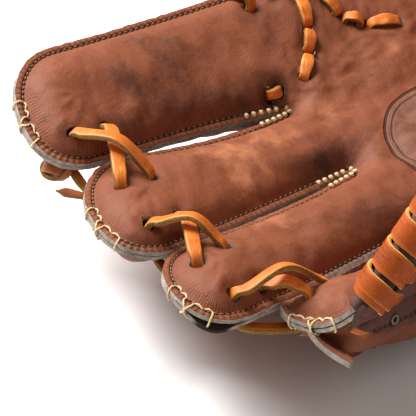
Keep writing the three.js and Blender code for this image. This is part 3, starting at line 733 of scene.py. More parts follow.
def hide_facts(points, line, holes, skip=0):
    """What the leather's material reads at each point, inner face included."""
    far, run = nearest(points, line, skip)
    radius = np.hypot(points[:, 0], points[:, 1] + fan_drop)
    gap = hole_gap(points, holes)
    shade = light_shade_and_burnish(points) + profile(gap, hole_shade) + profile(far, edge_darkening)
    stretch, across = beside_slit(points)
    bared = stretch * bell(across, 0, bare_reach)
    tips = np.maximum(smooth(radius, gathered_from, gathered_to), bared)
    facts = {"inset": far, "run": run, "shade": shade, "tips": tips, "u": points[:, 0],
             "v": points[:, 1], "bare": bared * (across > 0)}
    return far, gap, {key: np.tile(value, 2) for key, value in facts.items()}


fray, fray_size, fray_reach = 0.098, 5, 1.1


def frayed(points, far, seed):
    """The points near a cut edge moved about a little, so that the cut isn't quite even."""
    away = np.stack([wander(points, fray_size, seed), wander(points, fray_size, seed + 50)], -1)
    return points + away * (fray * np.exp(-far / fray_reach))[:, None]


def profile(away, rows):
    """The sum of the rows' bells of a height, centre and width, over a distance."""
    return sum(height * bell(away, centre, width) for height, centre, width in rows)


def waves(points, far, rows):
    """The sum of random reliefs of a height, size and seed, each rising between two distances
    from the cut edge."""
    return sum(height * wander(points, size, seed) * smooth(far, low, high)
               for height, size, seed, low, high in rows)


hole_radius = 2.7
finger_laces = [
    # first finger with its place across and along, second finger with its, rise
    ("little_ring_over", (3, 0.215, 0.875), (2, 0.585, 0.735), 5.2),
    ("little_ring_under", (3, 0.2, 0.74), (2, 0.59, 0.86), 0.6),
    ("ring_middle_over", (2, 0.18, 0.9), (1, 0.635, 0.75), 5.2),
    ("ring_middle_under", (2, 0.17, 0.765), (1, 0.61, 0.88), 0.6),
    ("middle_index_over", (1, 0.18, 0.885), (0, 0.8, 0.76), 5.2),
    ("middle_index_under", (1, 0.17, 0.77), (0, 0.78, 0.88), 0.6),
]
palm_laces = [
    ("chain_upper", [(3.73, 0.152), (3.447, 0.136), (3.262, 0.102), (3.078, 0.054)]),
    ("chain_lower", [(3.69, 0.205), (3.42, 0.228), (3.261, 0.277), (3.131, 0.362)]),
    ("single", [(3.138, -0.038), (3.117, 0.011)]),
]
lace_step = 2.5
side_laces, side_lace_inset, side_lace_down = [-0.003, 0.064], 10, 1
outer_edge = 3.9999
web_lace_places, web_lace_inset = [0.34, 0.58, 0.82], 7


def chain_ends(places):
    """The ends of each short stitch, drawn in a little from the holes they share."""
    points = [palm_point(*place) for place in places]
    ends = []
    for a, b in zip(points[:-1], points[1:]):
        share = lace_step / np.linalg.norm(b - a)
        ends.append((mix(a, b, share), mix(a, b, 1 - share)))
    return ends


index_corner = finger_edges[0](0, np.array(1.0))
slit_corner = palm_point(0, 0)
web_palm_side = np.linalg.norm(crotch - slit_corner)
web_finger_side = np.linalg.norm(slit_corner - index_corner)


def index_side(share):
    """The web's edge line on the index side: from the crotch to the slit, then up the finger."""
    run = np.asarray(share, float) * (web_palm_side + web_finger_side)
    lower = mix(crotch, slit_corner, (run / web_palm_side)[..., None])
    upper = mix(slit_corner, index_corner, ((run - web_palm_side) / web_finger_side)[..., None])
    return np.where((run < web_palm_side)[..., None], lower, upper)


def thumb_edge_line(share):
    return thumb_edge(1, share)


def beside(edge, share, away):
    """A point beside an edge line, on its right for a positive distance."""
    share = np.asarray(share, float)
    ahead = unit(edge(share + 0.02) - edge(share - 0.02))
    return edge(share) + np.asarray(away)[..., None] * right_of(ahead)


web_sides = [("index", index_side, -1), ("thumb", thumb_edge_line, 1)]
side_holes = [palm_point(outer_edge, down) - [side_lace_inset, side_lace_down] for down in side_laces]
palm_holes = [finger_point(*end) for row in finger_laces for end in row[1:3]]
palm_holes += [end for _, places in palm_laces for ends in chain_ends(places) for end in ends]
palm_holes += side_holes
for _, edge, web in web_sides:
    palm_holes += [beside(edge, share, -web * web_lace_inset) for share in web_lace_places]

# heights, centres and widths: the stitches' groove and the rounded edge, the dip and swell round a
# hole, the worn edge where it stands bare; then the grain's waves
palm_edge = [(-0.35, stitch_inset, 0.6), (-0.30, 0, 0.5), (-0.45, 0, 2.0)]
palm_dip, palm_wear = [(-1.0, 0, 3.4), (0.35, 6.0, 1.8)], [(-1.2, 0, 1.7)]
palm_waves = [(0.55, 34, 3, 6, 16), (0.22, 11, 4, 4, 9), (0.10, 5, 5, 3, 6)]
points, faces = joined([palm_body, *finger_fronts, thumb_front])
points, faces = punched(points, faces, palm_holes, hole_radius)
far, gap, facts = hide_facts(points, coarse_outline, palm_holes)
smooth_place = formed(frayed(points, far, 21), palm_height(points, far))
relief = (profile(far, palm_edge) + profile(gap, palm_dip) + waves(points, far, palm_waves)
          + facts["bare"][:len(points)] * profile(far, palm_wear))
place, faces, part = wall(smooth_place, relief, faces, leather)
new_piece("palm_leather", place, faces, palm_hide, ["palm_shell"], part, facts)

# Back leathers
# Five panels of the same hide with their seams turned in: each finger's back runs on over the
# back of the hand to the wrist opening, and the thumb's back ends at the heel.

panel_gap = 0.25
turned_in = 1.6
back_names = ["back_index", "back_middle", "back_ring", "back_little"]
back_holes = {name: [] for name in back_names}
behind_laces = [
    ("little_ring", (3, 0.14, 0.84), (2, 0.8, 0.84)),
    ("ring_middle", (2, 0.14, 0.84), (1, 0.84, 0.83)),
    ("middle_index", (1, 0.14, 0.86), (0, 0.86, 0.88)),
]
for _, *ends in behind_laces:
    for end in ends:
        back_holes[back_names[end[0]]].append(finger_point(*end))
back_holes["back_little"] += side_holes

# heights, centres and widths again, and the turned-in seams' depth
back_edge, back_dip, fold_depth = [(-0.5, stitch_inset, 0.55), (-0.85, 0, 2.0)], [(-0.8, 0, 3.4)], 1.3
back_waves = [(0.6, 30, 7, 6, 16), (0.25, 11, 8, 4, 9)]
floor_fade = 2

# where the two cut edges of the middle fingertip stand apart, the point of its outline counted
# from the slit
gape_drop, gape_reach, gape_point, gape_shade = 2.2, 8.0, 80, 1.2
gape_places = {"back_middle": [finger_fronts[1][0][gape_point]]}


def back_panel(name, grids, holes):
    """A back panel from its grids: the back's face, its seams turned in along its own rim."""
    points, faces = joined(grids)
    points, faces = punched(points, faces, holes, hole_radius)
    far, gap, facts = hide_facts(points, coarse_outline, holes, heel_steps // 2)
    rim = np.unique(open_edges(faces))
    rim = points[rim[(far[rim] > 1.5) & (gap[rim] > hole_radius + 0.3)]]
    panel = np.concatenate([hole_gap(points[low:low + 4000], rim)
                            for low in range(0, len(points), 4000)])
    fold = np.clip(1 - panel / turned_in, 0, 1) ** 2 * smooth(far, 3, 8)
    relief = (profile(far, back_edge) + profile(gap, back_dip) - fold_depth * fold
              + waves(points, far, back_waves))
    gape = bell(hole_gap(points, gape_places.get(name, [])), 0, gape_reach)
    facts["shade"] = facts["shade"] - np.tile(gape_shade * gape * np.exp(-far / 5), 2)
    gaping = gape_drop * gape * np.exp(-far / 6)
    flat = formed(frayed(points, far, 31), back_height(points, far) - gaping)
    on_floor = np.clip(1 - flat[:, 2] / floor_fade, 0, 1)
    place, faces, part = wall(flat, relief * (1 - on_floor), faces[:, ::-1], leather)
    place[:, 2] = np.maximum(place[:, 2], 0)
    facts["inset"] = np.tile(np.minimum(far, 2.0 + panel), 2)
    new_piece(name.replace("back_", "rear_"), place, faces, walnut, [name], part, facts)


thumb_clearance = 1.15
back_rows = np.append(upper_rows[:-1], crotch_share - thumb_clearance / (slit_radius - fan_drop))
for i, name in enumerate(back_names):
    rows = palm_rows if name == "back_little" else back_rows
    back_panel(name, [palm_grid(per_finger * i, per_finger * (i + 1), rows, panel_gap),
                      finger_grid(finger_edges[i], roundings[i], panel_gap)], back_holes[name])
back_panel("back_thumb", [palm_grid(0, per_finger, lower_rows), thumb_front], [])

# Wrist strap
# A plain band of the same hide across the wrist opening, between the thumb's and little
# finger's back panels.

strap_top, strap_foot = 0.68, 0.9
strap_rows = mix(strap_top, strap_foot, np.linspace(0, 1, 34))
back_panel("wrist_strap", [palm_grid(per_finger, 3 * per_finger, strap_rows, panel_gap)], [])

# Laces
# Orange latigo laces, cut about 5 mm wide, with the fibres bare on their cut sides. Each comes up
# out of a punched hole, crosses over and goes down another, and draws in where the hole grips it.

lace_width, lace_thickness, leg_length, lace_lift = 4.9, 2.3, 5.5, 1.2
foot_reach, foot_shift, long_rise, short_rise, low_lift = 2.2, 0.9, 0.8, 0.5, 0.05


def drawn(points, step=0.7):
    """A line through points, centripetal Catmull-Rom, sampled at about equal steps."""
    p = np.asarray(points, float)
    p = np.concatenate([[2 * p[0] - p[1]], p, [2 * p[-1] - p[-2]]])
    line = []
    for a, b, c, d in zip(p[:-3], p[1:-2], p[2:-1], p[3:]):
        e, f, g = (max(np.linalg.norm(y - x), 1e-6) ** 0.5 for x, y in ((a, b), (b, c), (c, d)))
        start = f * ((b - a) / e - (c - a) / (e + f) + (c - b) / f)
        end = f * ((c - b) / f - (d - b) / (f + g) + (d - c) / g)
        count = max(2, round(np.linalg.norm(c - b) / step))
        t = (np.arange(count) / count)[:, None]
        line.append((2 * t ** 3 - 3 * t ** 2 + 1) * b + (t ** 3 - 2 * t ** 2 + t) * start
                    + (3 * t ** 2 - 2 * t ** 3) * c + (t ** 3 - t ** 2) * end)
    return np.concatenate([*line, p[-2:-1]])


def run_along(line):
    """The length along a line at each of its points."""
    return np.concatenate([[0], np.cumsum(np.linalg.norm(np.diff(line, axis=0), axis=1))])


def outward(place, faces):
    """The faces turned so that the volume inside them counts as positive."""
    a, b, c = place[faces[:, 0]], place[faces[:, 1]], place[faces[:, 2]]
    return faces if (a * np.cross(b, c)).sum() > 0 else faces[:, ::-1]


def tube_faces(count, around):
    """The triangles of a tube of point rings, and of its ends' fans about two last points."""
    ids = np.arange(count * around).reshape(count, around)
    poles = np.full(around, ids.size)
    return np.concatenate([halved(np.concatenate([ids, ids[:, :1]], 1)),
                           np.stack([poles, np.roll(ids[0], -1), ids[0]], -1),
                           np.stack([poles + 1, ids[-1], np.roll(ids[-1], -1)], -1)])


def strip(line, side, width, thickness, taper=1.0, turn=0.0, around=20, power=4.5):
    """A flat strip along a line, its section a superellipse, with bevelled closed ends."""
    ahead = unit(np.gradient(line, axis=0))
    up = unit(np.cross(side, ahead))
    across = np.cross(ahead, up)
    turn = np.broadcast_to(turn, len(line))[:, None]
    across, up = across * np.cos(turn) + up * np.sin(turn), up * np.cos(turn) - across * np.sin(turn)
    x, y = superellipse(2 * np.pi * np.arange(around) / around, power)
    half = np.broadcast_to(taper, len(line))[:, None] * width / 2
    rings = (line[:, None] + across[:, None] * (half * x)[..., None]
             + up[:, None] * (thickness / 2 * y)[None, :, None])
    ends = [mix(line[i], rings[i], 0.8) + s * 0.3 * ahead[i] for i, s in ((0, -1), (-1, 1))]
    rings = np.concatenate([ends[:1], rings, ends[1:]])
    place = np.concatenate([rings.reshape(-1, 3), [rings[0].mean(0), rings[-1].mean(0)]])
    run = run_along(rings.mean(1))
    facts = {"cut": np.append(np.tile(np.abs(x), len(rings)), [0.99, 0.99]),
             "across": np.append(np.tile(x * width / 2, len(rings)), [0, 0]),
             "run": np.append(np.repeat(run, around), [0, run[-1]])}
    return place, outward(place, tube_faces(len(rings), around)), facts


def together(parts):
    """Several strips as one mesh: their places, faces and facts."""
    starts = np.cumsum([0] + [len(part[0]) for part in parts])
    return (np.concatenate([part[0] for part in parts]),
            np.concatenate([part[1] + start for part, start in zip(parts, starts)]),
            {key: np.concatenate([part[2][key] for part in parts]) for key in parts[0][2]})


def strip_leather(name, light, mid, dark, edge_light, edge_dark, gloss=0.35):
    """Laces and bands: smooth dyed faces streaked along the strip, and bare fibre at the cuts."""
    material, place, shader = start_material(name)
    cut, across, run = (attribute(place, key) for key in ("cut", "across", "run"))
    along = place.add("ShaderNodeCombineXYZ", {}, {"X": run * 0.16, "Y": across * 0.7, "Z": 0.0})
    streak = along.noise(1.6, 4, 0.6)
    cloud = place.noise(75, 4, 0.6, 0.4)
    fine = place.noise(1300, 4, 0.7)
    tone = (streak * 0.95 + cloud * 0.8 + fine * 0.2 - 0.475).clamped()
    colour = tone.ramp((0.2, dark), (0.46, mid), (0.6, mid), (0.82, light))
    bare = place.noise(1900, 4, 0.8).ramp((0.32, edge_dark), (0.68, edge_light))
    side = cut.step(0.93, 0.985)
    rub = cut.step(0.6, 0.9) * (1 - side)
    colour = colour.tint(light, rub * 0.35).tint(bare, side)
    rough = 0.44 + side * 0.42 + fine * 0.14
    finish_material(shader, place, colour, rough, fine * (0.35 + side * 1.4) + streak * 0.3, 0.0003,
                    **{"Specular IOR Level": gloss})
    return material


latigo = [strip_leather("latigo_lace", (0.92, 0.35, 0.070), (0.60, 0.150, 0.016), (0.28, 0.058, 0.006),
                        (0.44, 0.24, 0.055), (0.065, 0.030, 0.007))]


def stitch_line(a, b, rise, lift=lace_lift, shift=foot_shift):
    """The path of a lace from one hole to another, up out of the first and over, and its side."""
    (p, n), (q, m) = a, b
    lean, up = unit(q - p), unit(n + m)
    reach, clear = min(foot_reach, 0.2 * np.linalg.norm(q - p)), lift + lace_thickness / 2
    p, q = p + shift * lean, q - shift * lean
    path = [p - leg_length * n, p + 0.2 * n, p + 0.8 * clear * n + reach * lean,
            mix(p, q, 0.5) + (clear + rise) * up,
            q + 0.8 * clear * m - reach * lean, q + 0.2 * m, q - leg_length * m]
    return drawn(path), unit(np.cross(up, lean))


grip_share, grip_reach = 0.2, 2.6


def gripped(line):
    """Widths along a lace as shares: less by a bell curve where each of its holes grips it."""
    run, hole = run_along(line), leg_length + 0.2
    near = bell(run, hole, grip_reach) + bell(run[-1] - run, hole, grip_reach)
    return 1 - grip_share * near + 0.02 * np.sin(run * 0.8)


def lace(name, line, side, taper=None, turn=0.0, materials=latigo, width=lace_width, node=True):
    """A lace along a line, gripped at its holes unless it has a taper of its own."""
    taper = gripped(line) if taper is None else taper
    place, faces, facts = strip(line, side, width, lace_thickness, taper, turn)
    new_piece(name, place, faces, materials, [name] if node else [], facts=facts)


def swing(line, amount):
    """A slow turn of the strip about its own line, nothing at both ends."""
    return amount * np.sin(np.pi * np.linspace(0, 1, len(line))) ** 2


over_swing, under_swing, chain_swing = 0.22, -0.12, 0.1
for name, a, b, rise in finger_laces:
    line, side = stitch_line(on_palm(finger_point(*a)), on_palm(finger_point(*b)), rise)
    lace(f"lace_{name}", line, side, turn=swing(line, over_swing if rise > 1 else under_swing))
for name, a, b in behind_laces:
    line, side = stitch_line(on_back(finger_point(*a)), on_back(finger_point(*b)), 0.0, low_lift)
    lace(f"lace_{name}_behind", line, side)
for name, places in palm_laces:
    for i, (a, b) in enumerate(chain_ends(places), 1):
        line, side = stitch_line(on_palm(a), on_palm(b), short_rise, low_lift, 0)
        lace(f"lace_{name}_{i}", line, side, turn=swing(line, chain_swing * (-1) ** i))
for i, down in enumerate(side_laces, 1):
    edge_point, inner = palm_point(outer_edge, down), side_holes[i - 1]
    (p, n), (q, m) = on_palm(inner), on_back(inner)
    clear = lace_lift + lace_thickness / 2
    top = seam_gap / 2 + leather + clear
    beyond = [(-0.5, top), (clear + 1, 0.5 * top), (clear + 1, -0.5 * top), (-0.5, -top)]
    outside = [formed(edge_point + [u, 0], w) for u, w in beyond]
    ahead = formed(edge_point + [2, 0], 0) - formed(edge_point, 0)
    line = drawn([p - leg_length * n, p + 0.2 * n, p + clear * n + ahead, *outside,
                  q + clear * m + ahead, q + 0.2 * m, q - leg_length * m])
    lace(f"lace_side_{i}", line, unit(np.cross(n, ahead)))

# Knot and loose end of the back lace
# The lace that runs behind the fingertips is tied off behind the little finger: a loop on edge
# with a turn laid over it. Its loose end, pared to a point, lies behind the ring finger.

knot_radius, knot_rise, knot_thickness = 5.5, -4.2, 1.9
loop_radius, loop_width, over_width = 4.2, 4.6, 4.4
# a darker copy of the lace: painted shade on the knot and loose end, which lie in shadow under the
# fingers
lace_in_shade = [strip_leather("shaded_lace", (0.58, 0.18, 0.042), (0.27, 0.070, 0.014), (0.08, 0.024, 0.007),
                      (0.30, 0.16, 0.04), (0.05, 0.026, 0.007))]
p, n = on_back(finger_point(3, 0.16, 0.894))
centre = p + n * (knot_radius + knot_rise)
tipward = unit(np.cross(n, np.cross(on_back(finger_point(3, 0.16, 0.96))[0] - p, n)))
sideways = np.cross(n, tipward)
turn = np.radians(np.linspace(-200, 110, 40))
loop = centre + loop_radius * (np.cos(turn)[:, None] * tipward + np.sin(turn)[:, None] * sideways)
loop = loop + np.linspace(-0.8, 0.8, 40)[:, None] * n
over = drawn([centre - 5.2 * sideways - 1.0 * n, centre - 3.0 * sideways + 3.0 * n + 1.2 * tipward,
              centre + 3.2 * n + 1.6 * tipward + 1.2 * sideways, centre + 4.9 * sideways + 0.6 * n,
              centre + 4.3 * sideways - 3.0 * n - 1.0 * tipward])
place, faces, facts = together([strip(loop, n, loop_width, knot_thickness),
                                strip(over, tipward, over_width, knot_thickness, turn=swing(over, 0.3))])
new_piece("lace_knot", place, faces, lace_in_shade, ["lace_knot"], facts=facts)

# where the loose end lies on the ring finger, across and along; beyond the held share it juts out
end_held, end_sink, end_stretch = 0.9, 0.6, 0.75
end_places = [(0.68, 0.84), (0.76, 0.89), (0.84, 0.94), (0.92, 0.99)]
end_path = []
for across, along in end_places:
    held = finger_point(2, across, min(along, end_held))
    p, n = on_back(held)
    carried = formed(finger_point(2, across, along), -10) - formed(held, -10)
    end_path.append(p + n * (lace_thickness / 2 - end_sink) + end_stretch * carried)
line = drawn(end_path)
side = unit(np.cross(end_path[3] - end_path[0], on_back(finger_point(2, 0.7, 0.84))[1]))
share = np.linspace(0, 1, len(line))
lace("lace_end", line, side, turn=0.8 * share, materials=lace_in_shade,
     taper=(1 - 0.8 * smooth(share, 0.86, 1.0)) * (0.56 + 0.10 * np.sin(share * 9)))

# the pared end of the web's inner lace, laid on the index finger's back under the web's flange
tab_across, tab_from, tab_to, tab_width = 0.135, 0.955, 0.88, 5.2
held = [on_back(finger_point(0, tab_across, along)) for along in np.linspace(tab_from, tab_to, 5)]
line = drawn([p - 0.2 * n for p, n in held])
share = np.linspace(0, 1, len(line))
lace("lace_pared_end", line, unit(np.cross(held[2][1], line[-1] - line[0])),
     taper=1 - 0.75 * share, width=tab_width, node=False)

# Web
# A double panel of dark hide between the index finger and the thumb, with a roll of the same
# hide along its top edge, all laced to both sides.

web_thickness, web_edge_gap, web_foot, web_top = 2.6, 0.7, 0.17, 0.985
roll_radius, roll_end_gap, roll_clearance = 4.2, 3.0, 0.3
web_rows, web_columns = 120, 90
web_edge_length = web_palm_side + web_finger_side
dusk_tones = (0.27, 0.105, 0.070), (0.120, 0.042, 0.030), (0.035, 0.014, 0.010)
dusk = [grain_side("dusk_grain", *dusk_tones), grain_side("dusk_back", *dusk_tones),
        raw_edge("dusk_edge", (0.12, 0.075, 0.058), (0.04, 0.025, 0.020))]


def web_line(edge, web, share):
    return beside(edge, share, web * web_edge_gap)


def web_height(points):
    return np.full(points.shape[:-1], web_thickness / 2)


on_web = on_face(web_height, True)
share = mix(web_foot, web_top, np.linspace(0, 1, web_rows + 1))
left, right = (web_line(edge, web, share) for _, edge, web in web_sides)
grid = mix(left[:, None], right[:, None], np.linspace(0, 1, web_columns + 1)[None, :, None])
points, faces = joined([grid])
web_holes = [beside(edge, s, web * (web_lace_inset - foot_shift))
             for _, edge, web in web_sides for s in web_lace_places]
points, faces = punched(points, faces, web_holes, 2.2)
web_outline = np.concatenate([grid[0, :-1], grid[:-1, -1], grid[-1, :0:-1], grid[:0:-1, 0]])
web_outline = np.concatenate([web_outline, web_outline[:1]])[::2]
far, run = nearest(points, web_outline)
border_shift = 0.9
groove = [(-0.4, stitch_inset + border_shift, 0.6)]
relief = profile(far, groove) + waves(points, far, [(0.35, 26, 12, 3, 9), (0.12, 8, 13, 3, 6)])


def plain_facts(inset, run, shade=0.0, faces=2):
    """What the hide's material reads on a sheet without the patches of painted shade, light and burnish,
    on one or both faces.
    """
    facts = {"inset": inset, "run": run, "shade": shade, "tips": 0.0}
    return {key: np.tile(np.broadcast_to(np.ravel(value), np.size(run)), faces)
            for key, value in facts.items()}


facts = plain_facts(far - border_shift, run)
place, faces, part = wall(formed(points, web_height(points)), relief, faces, web_thickness, -relief)
new_piece("web_leather", place, faces, dusk, ["web_panel"], part, facts)

roll_from = web_line(index_side, -1, np.array(web_top))
roll_to = web_line(thumb_edge_line, 1, np.array(web_top))
roll_length = np.linalg.norm(roll_to - roll_from) - 2 * roll_end_gap
roll_ahead = unit(roll_to - roll_from)
roll_out = right_of(roll_ahead)


def by_roll(along, out, w):
    """A place by the roll: along it, out beyond its axis, and off the plane of the web."""
    along, out, w = np.broadcast_arrays(along, out, w)
    away = roll_radius + roll_clearance + out
    flat = roll_from + roll_ahead * (roll_end_gap + along)[..., None] + roll_out * away[..., None]
    return formed(flat, w)


sides, steps = 36, 130
angle = 2 * np.pi * np.arange(sides) / sides
along = np.concatenate([[-3.4, -3.3, -2.9], np.linspace(-2.1, roll_length - 1.3, steps),
                        roll_length - np.array([0.5, 0.1, 0])])
end = np.minimum(along + 3.4, roll_length - along)
swell = roll_radius * (1 - 0.30 * np.clip(1 - end / 1.3, 0, 1) ** 2.2)
swell = swell[:, None] * (1 + 0.018 * np.sin(3 * angle + along[:, None] * 0.05)
                          + 0.012 * np.sin(along[:, None] * 0.6 + 2 * angle))
lapped = np.clip((angle / (2 * np.pi)), 0, 1) ** 6 * 0.35
rings = by_roll(along[:, None], (swell - lapped) * np.cos(angle), (swell - lapped) * np.sin(angle))
place = np.concatenate([rings.reshape(-1, 3), [rings[0].mean(0), rings[-1].mean(0)]])
faces = tube_faces(len(rings), sides)
part = np.where((faces >= len(place) - 2).any(1), 2, 0)
facts = plain_facts(far_off, np.append(np.repeat(along, sides), [0, roll_length]), faces=1)
new_piece("web_roll_leather", place, outward(place, faces), dusk, ["web_roll"], part, facts)

for name, edge, web in web_sides:
    for i, s in enumerate(web_lace_places, 1):
        line, side = stitch_line(on_palm(beside(edge, s, -web * web_lace_inset)),
                                 on_web(beside(edge, s, web * web_lace_inset)), long_rise)
        lace(f"web_lace_{name}_{i}", line, side)

# Bands of the web's roll
# Eight broad latigo bands, each folded over the roll and laid down flat on both faces of the web.
# The first, at the index finger, is two overlapping strips, the upper cut back at a slant.

band_count, band_pitch, band_start, band_width, band_thickness = 8, 10.6, 3.0, 9.0, 1.9
band_gap, band_sweep, band_tail, band_lean, tail_gap = 0.6, math.radians(115), 13.0, 3.0, 0.92
# each strip of a band: shift along the roll, width, how far out it lies, how much longer its tails
first_lays, other_lays = [(-1.7, 5.6, 0, 0.8), (1.2, 6.6, 0.75, -0.6)], [(0, band_width, 0, 0)]
golden = [strip_leather("latigo_band", (0.64, 0.145, 0.015), (0.34, 0.060, 0.004), (0.15, 0.026, 0.003),
                        (0.90, 0.54, 0.15), (0.60, 0.30, 0.06), 0.22)]


def band_line(along, tail, out=0.0):
    """Down one face of the web, round the roll by twice the sweep, and down the other face."""
    middle_out = band_thickness / 2 + out
    radius, flat = roll_radius + band_gap + middle_out, web_thickness / 2 + tail_gap + middle_out
    leave = radius * math.cos(band_sweep), radius * math.sin(band_sweep)
    meet = max(leave[0] - (leave[1] - flat) / math.tan(band_sweep - math.pi / 2), 2 - band_tail)
    share = np.linspace(-1, 1, 21)
    arc = by_roll(along + band_lean * share * np.abs(share), radius * np.cos(band_sweep * share),
                  radius * np.sin(band_sweep * share))
    ends = [[by_roll(along + s * band_lean, away, s * flat) for away in (-tail[k], meet)]
            for k, s in enumerate((-1, 1))]
    return drawn([*ends[0], *arc, *ends[1][::-1]])


for band in range(band_count):
    along = band_start + band_pitch * band + band_width / 2
    wobble = 0.5 * math.sin(2.4 * band + 1)
    side = unit(by_roll(along + 1, 0, 0) - by_roll(along - 1, 0, 0))
    parts = []
    for shift, width, out, longer in other_lays if band else first_lays:
        line = band_line(along + shift, (band_tail + wobble + longer, band_tail - wobble + longer), out)
        reach = np.linspace(-1, 1, len(line))
        narrow = 1 - np.where(reach < 0, 0.42, 0.2) * np.abs(reach) ** 1.7
        parts.append(strip(line, side, width, band_thickness, narrow, around=28, power=7))
    place, faces, facts = together(parts)
    new_piece(f"band_{band + 1}", place, faces, golden, [f"web_band_{band + 1}"], facts=facts)

# Flange of the web
# The web's outer hide runs on past the index finger's edge and is laid over the finger's back,
# with a row of stitches along its border and one spare hole, a dip with painted shade for its dark
# inside, worked round with dusty thread.

flange_in, flange_out, flange_from, flange_to, flange_leather = 8.5, 9.0, 0.45, 1.036, 1.3
corner_round, heel_taper = 0.117, 0.3
spare_hole = finger_point(0, 0.140, 0.778)


def flange_height(points, x):
    """On the web's outer face, and then over the lip and down the finger's full back; x is how
    far beyond the finger's edge."""
    step_out = mix(web_thickness / 2 + 0.2, seam_gap / 2 + leather + 0.4, smooth(-x, -3.5, 0.5))
    return -(step_out + hand_fullness(points, np.maximum(-x, 0)))


down, x = np.meshgrid(np.linspace(0, 1, 90), np.linspace(-flange_in, flange_out, 40), indexing="ij")
corner = corner_round * np.clip(-x / flange_in, 0, 1) ** 2.2
narrow = np.sin(0.5 * np.pi * np.clip(down / heel_taper, 0.12, 1))
x = np.where(x < 0, x * narrow, x)
share = mix(flange_from, flange_to - corner, down)
flat_points = beside(index_side, share, -x)
place = formed(flat_points, flange_height(flat_points, x)).reshape(-1, 3)
flat_points = flat_points.reshape(-1, 2)
faces = halved(np.arange(x.size).reshape(x.shape))
some = slice(None, None, 41)
if (vertex_normals(place, faces)[some] * on_face(back_height, False)(flat_points[some])[1]).sum() < 0:
    faces = faces[:, ::-1]
edge_gap = (x + flange_in * narrow).ravel()
# the spare hole: a dip, with painted shade for its dark inside
cup = bell(np.linalg.norm(flat_points - spare_hole, axis=1), 0, 1.2)
relief = (flange_leather - 0.25 * bell(edge_gap, 2.0, 0.5) - 0.7 * cup
          + 0.15 * wander(flat_points, 12, 41) + 0.16 * wander(flat_points, 5, 43))
place, faces, part = wall(place, relief, faces, 0)
new_piece("web_flange", place, faces, dusk, [], part,
          plain_facts(edge_gap + 0.5, (share * web_edge_length).ravel(), -2.5 * cup))

# Fin of the index finger's back seam
# The back seam of the index finger is sewn outward, and its two allowances stand out below the
# tip as one stiff fin with a bare grey cut edge and a row of dark stitches inside it.

fin_aside, fin_drop, fin_below, fin_fade, fin_to = 15.6, 13.0, 3.0, 12.5, 0.7
fin_face, fin_start, fin_tuck, tuck_length, lip_length = 21.0, 0.2, -0.9, 14, 3.5
fin_along = np.concatenate([np.linspace(1.006, 0.85, 60), np.linspace(0.845, fin_to, 20)])
fin_down = np.concatenate([[0, 0.02, 0.05], np.linspace(0.1, 1, 34)])
finger_length = finger_rows[0][0] - slit_radius


def fin_point(down, along):
    """A point of the fin's face: along the finger to its tip, and down from the seam and aside
    on a curve that starts straight down; and its distance from the fin's end and from its cut edge."""
    base = finger_point(0, 0.5, along)
    length = (1 - along) * finger_length
    fade = smooth(length, 0, fin_fade)
    top = mix(-fin_start, back_height(base) + 0.3, smooth(length, 0, lip_length))
    below = mix(fin_tuck, fin_below, smooth((1 - fin_to) * finger_length - length, 0, tuck_length))
    foot = mix(-fin_start - fin_drop, back_height(base) - below, fade)
    aside = fin_aside * (1 - fade) * (down ** 1.15 - 0.035 * np.sin(2 * np.pi * down))
    flat = base - np.stack([aside, 0 * aside], -1)
    place = formed(flat, mix(top, np.minimum(foot, top - 0.3), down))
    return place, length, (1 - down) * mix(fin_face, fin_below, fade)


place, length, border = fin_point(*np.meshgrid(fin_down, fin_along))
border = np.minimum(border, length).ravel()
faces = halved(np.arange(border.size).reshape(length.shape))
place, faces, part = wall(place.reshape(-1, 3), profile(border, groove), faces, leather)
new_piece("index_fin", place, outward(place, faces), [walnut[0], walnut[0], walnut[2]],
          ["back_index_fin"], part, plain_facts(border - border_shift, length.ravel(), -0.1))

# Sewing
# Waxed brown thread in a row inside every cut edge, and hand-sewn cream thread: whipped
# stitches round the closed end of each slit, and bars and a cross over the fingertips' edges.

stitch_length, thread_radius = 1.6, 0.27


def threads(centres, ahead, normals, length, radius, rise):
    """Short arched threads in one mesh, each five rings of six points between two poles."""
    t = np.array([-0.9, -0.6, 0, 0.6, 0.9])
    angle = 2 * np.pi * np.arange(6) / 6
    ahead, normals = unit(ahead), unit(normals)
    sides = np.cross(ahead, normals)
    middle_line = (centres[:, None] + ahead[:, None] * (length / 2 * t)[None, :, None]
                   + normals[:, None] * (rise * (1 - t ** 2))[None, :, None])
    ring = (sides[:, None, None] * np.cos(angle)[None, None, :, None]
            + normals[:, None, None] * np.sin(angle)[None, None, :, None])
    rings = middle_line[:, :, None] + ring * (radius * np.sqrt(1 - 0.8 * t ** 2))[None, :, None, None]
    poles = np.stack([centres + s * ahead * length / 2 for s in (-1, 1)], 1)
    place = np.concatenate([rings.reshape(len(centres), 30, 3), poles], 1)
    one = outward(place[0] - place[0].mean(0), tube_faces(5, 6))
    faces = (one[None] + 32 * np.arange(len(centres))[:, None, None]).reshape(-1, 3)
    return place.reshape(-1, 3), faces


def thread_material(name, light, dark, twist):
    """Waxed thread: slant plies, darker between them."""
    material, place, shader = start_material(name)
    ply = place.noise(2600, 2, 0.5)
    finish_material(shader, place, ply.ramp((0.35, dark), (0.65, light)), 0.6, ply, twist)
    return material


brown_thread = [thread_material("brown_thread", (0.36, 0.20, 0.095), (0.11, 0.052, 0.025), 0.00015)]
cream_thread = [thread_material("cream_thread", (0.90, 0.70, 0.42), (0.55, 0.36, 0.16), 0.0003)]


def stitch_row(line, side, skip=0):
    """Centres and directions of the stitches along a line, moved in from it by the inset."""
    run = run_along(line)

    def on_line(at):
        return np.stack([np.interp(at, run, line[:, k]) for k in (0, 1)], -1)

    def moved(at):
        ahead = unit(on_line(at + 0.9) - on_line(at - 0.9))
        return on_line(at) - side * stitch_inset * right_of(ahead)

    at = (np.arange(1, int(run[-1] / stitch_pitch) - 1) + 0.5) * stitch_pitch
    at = at[at > run[skip]]
    return moved(at), moved(at + 0.4) - moved(at - 0.4)


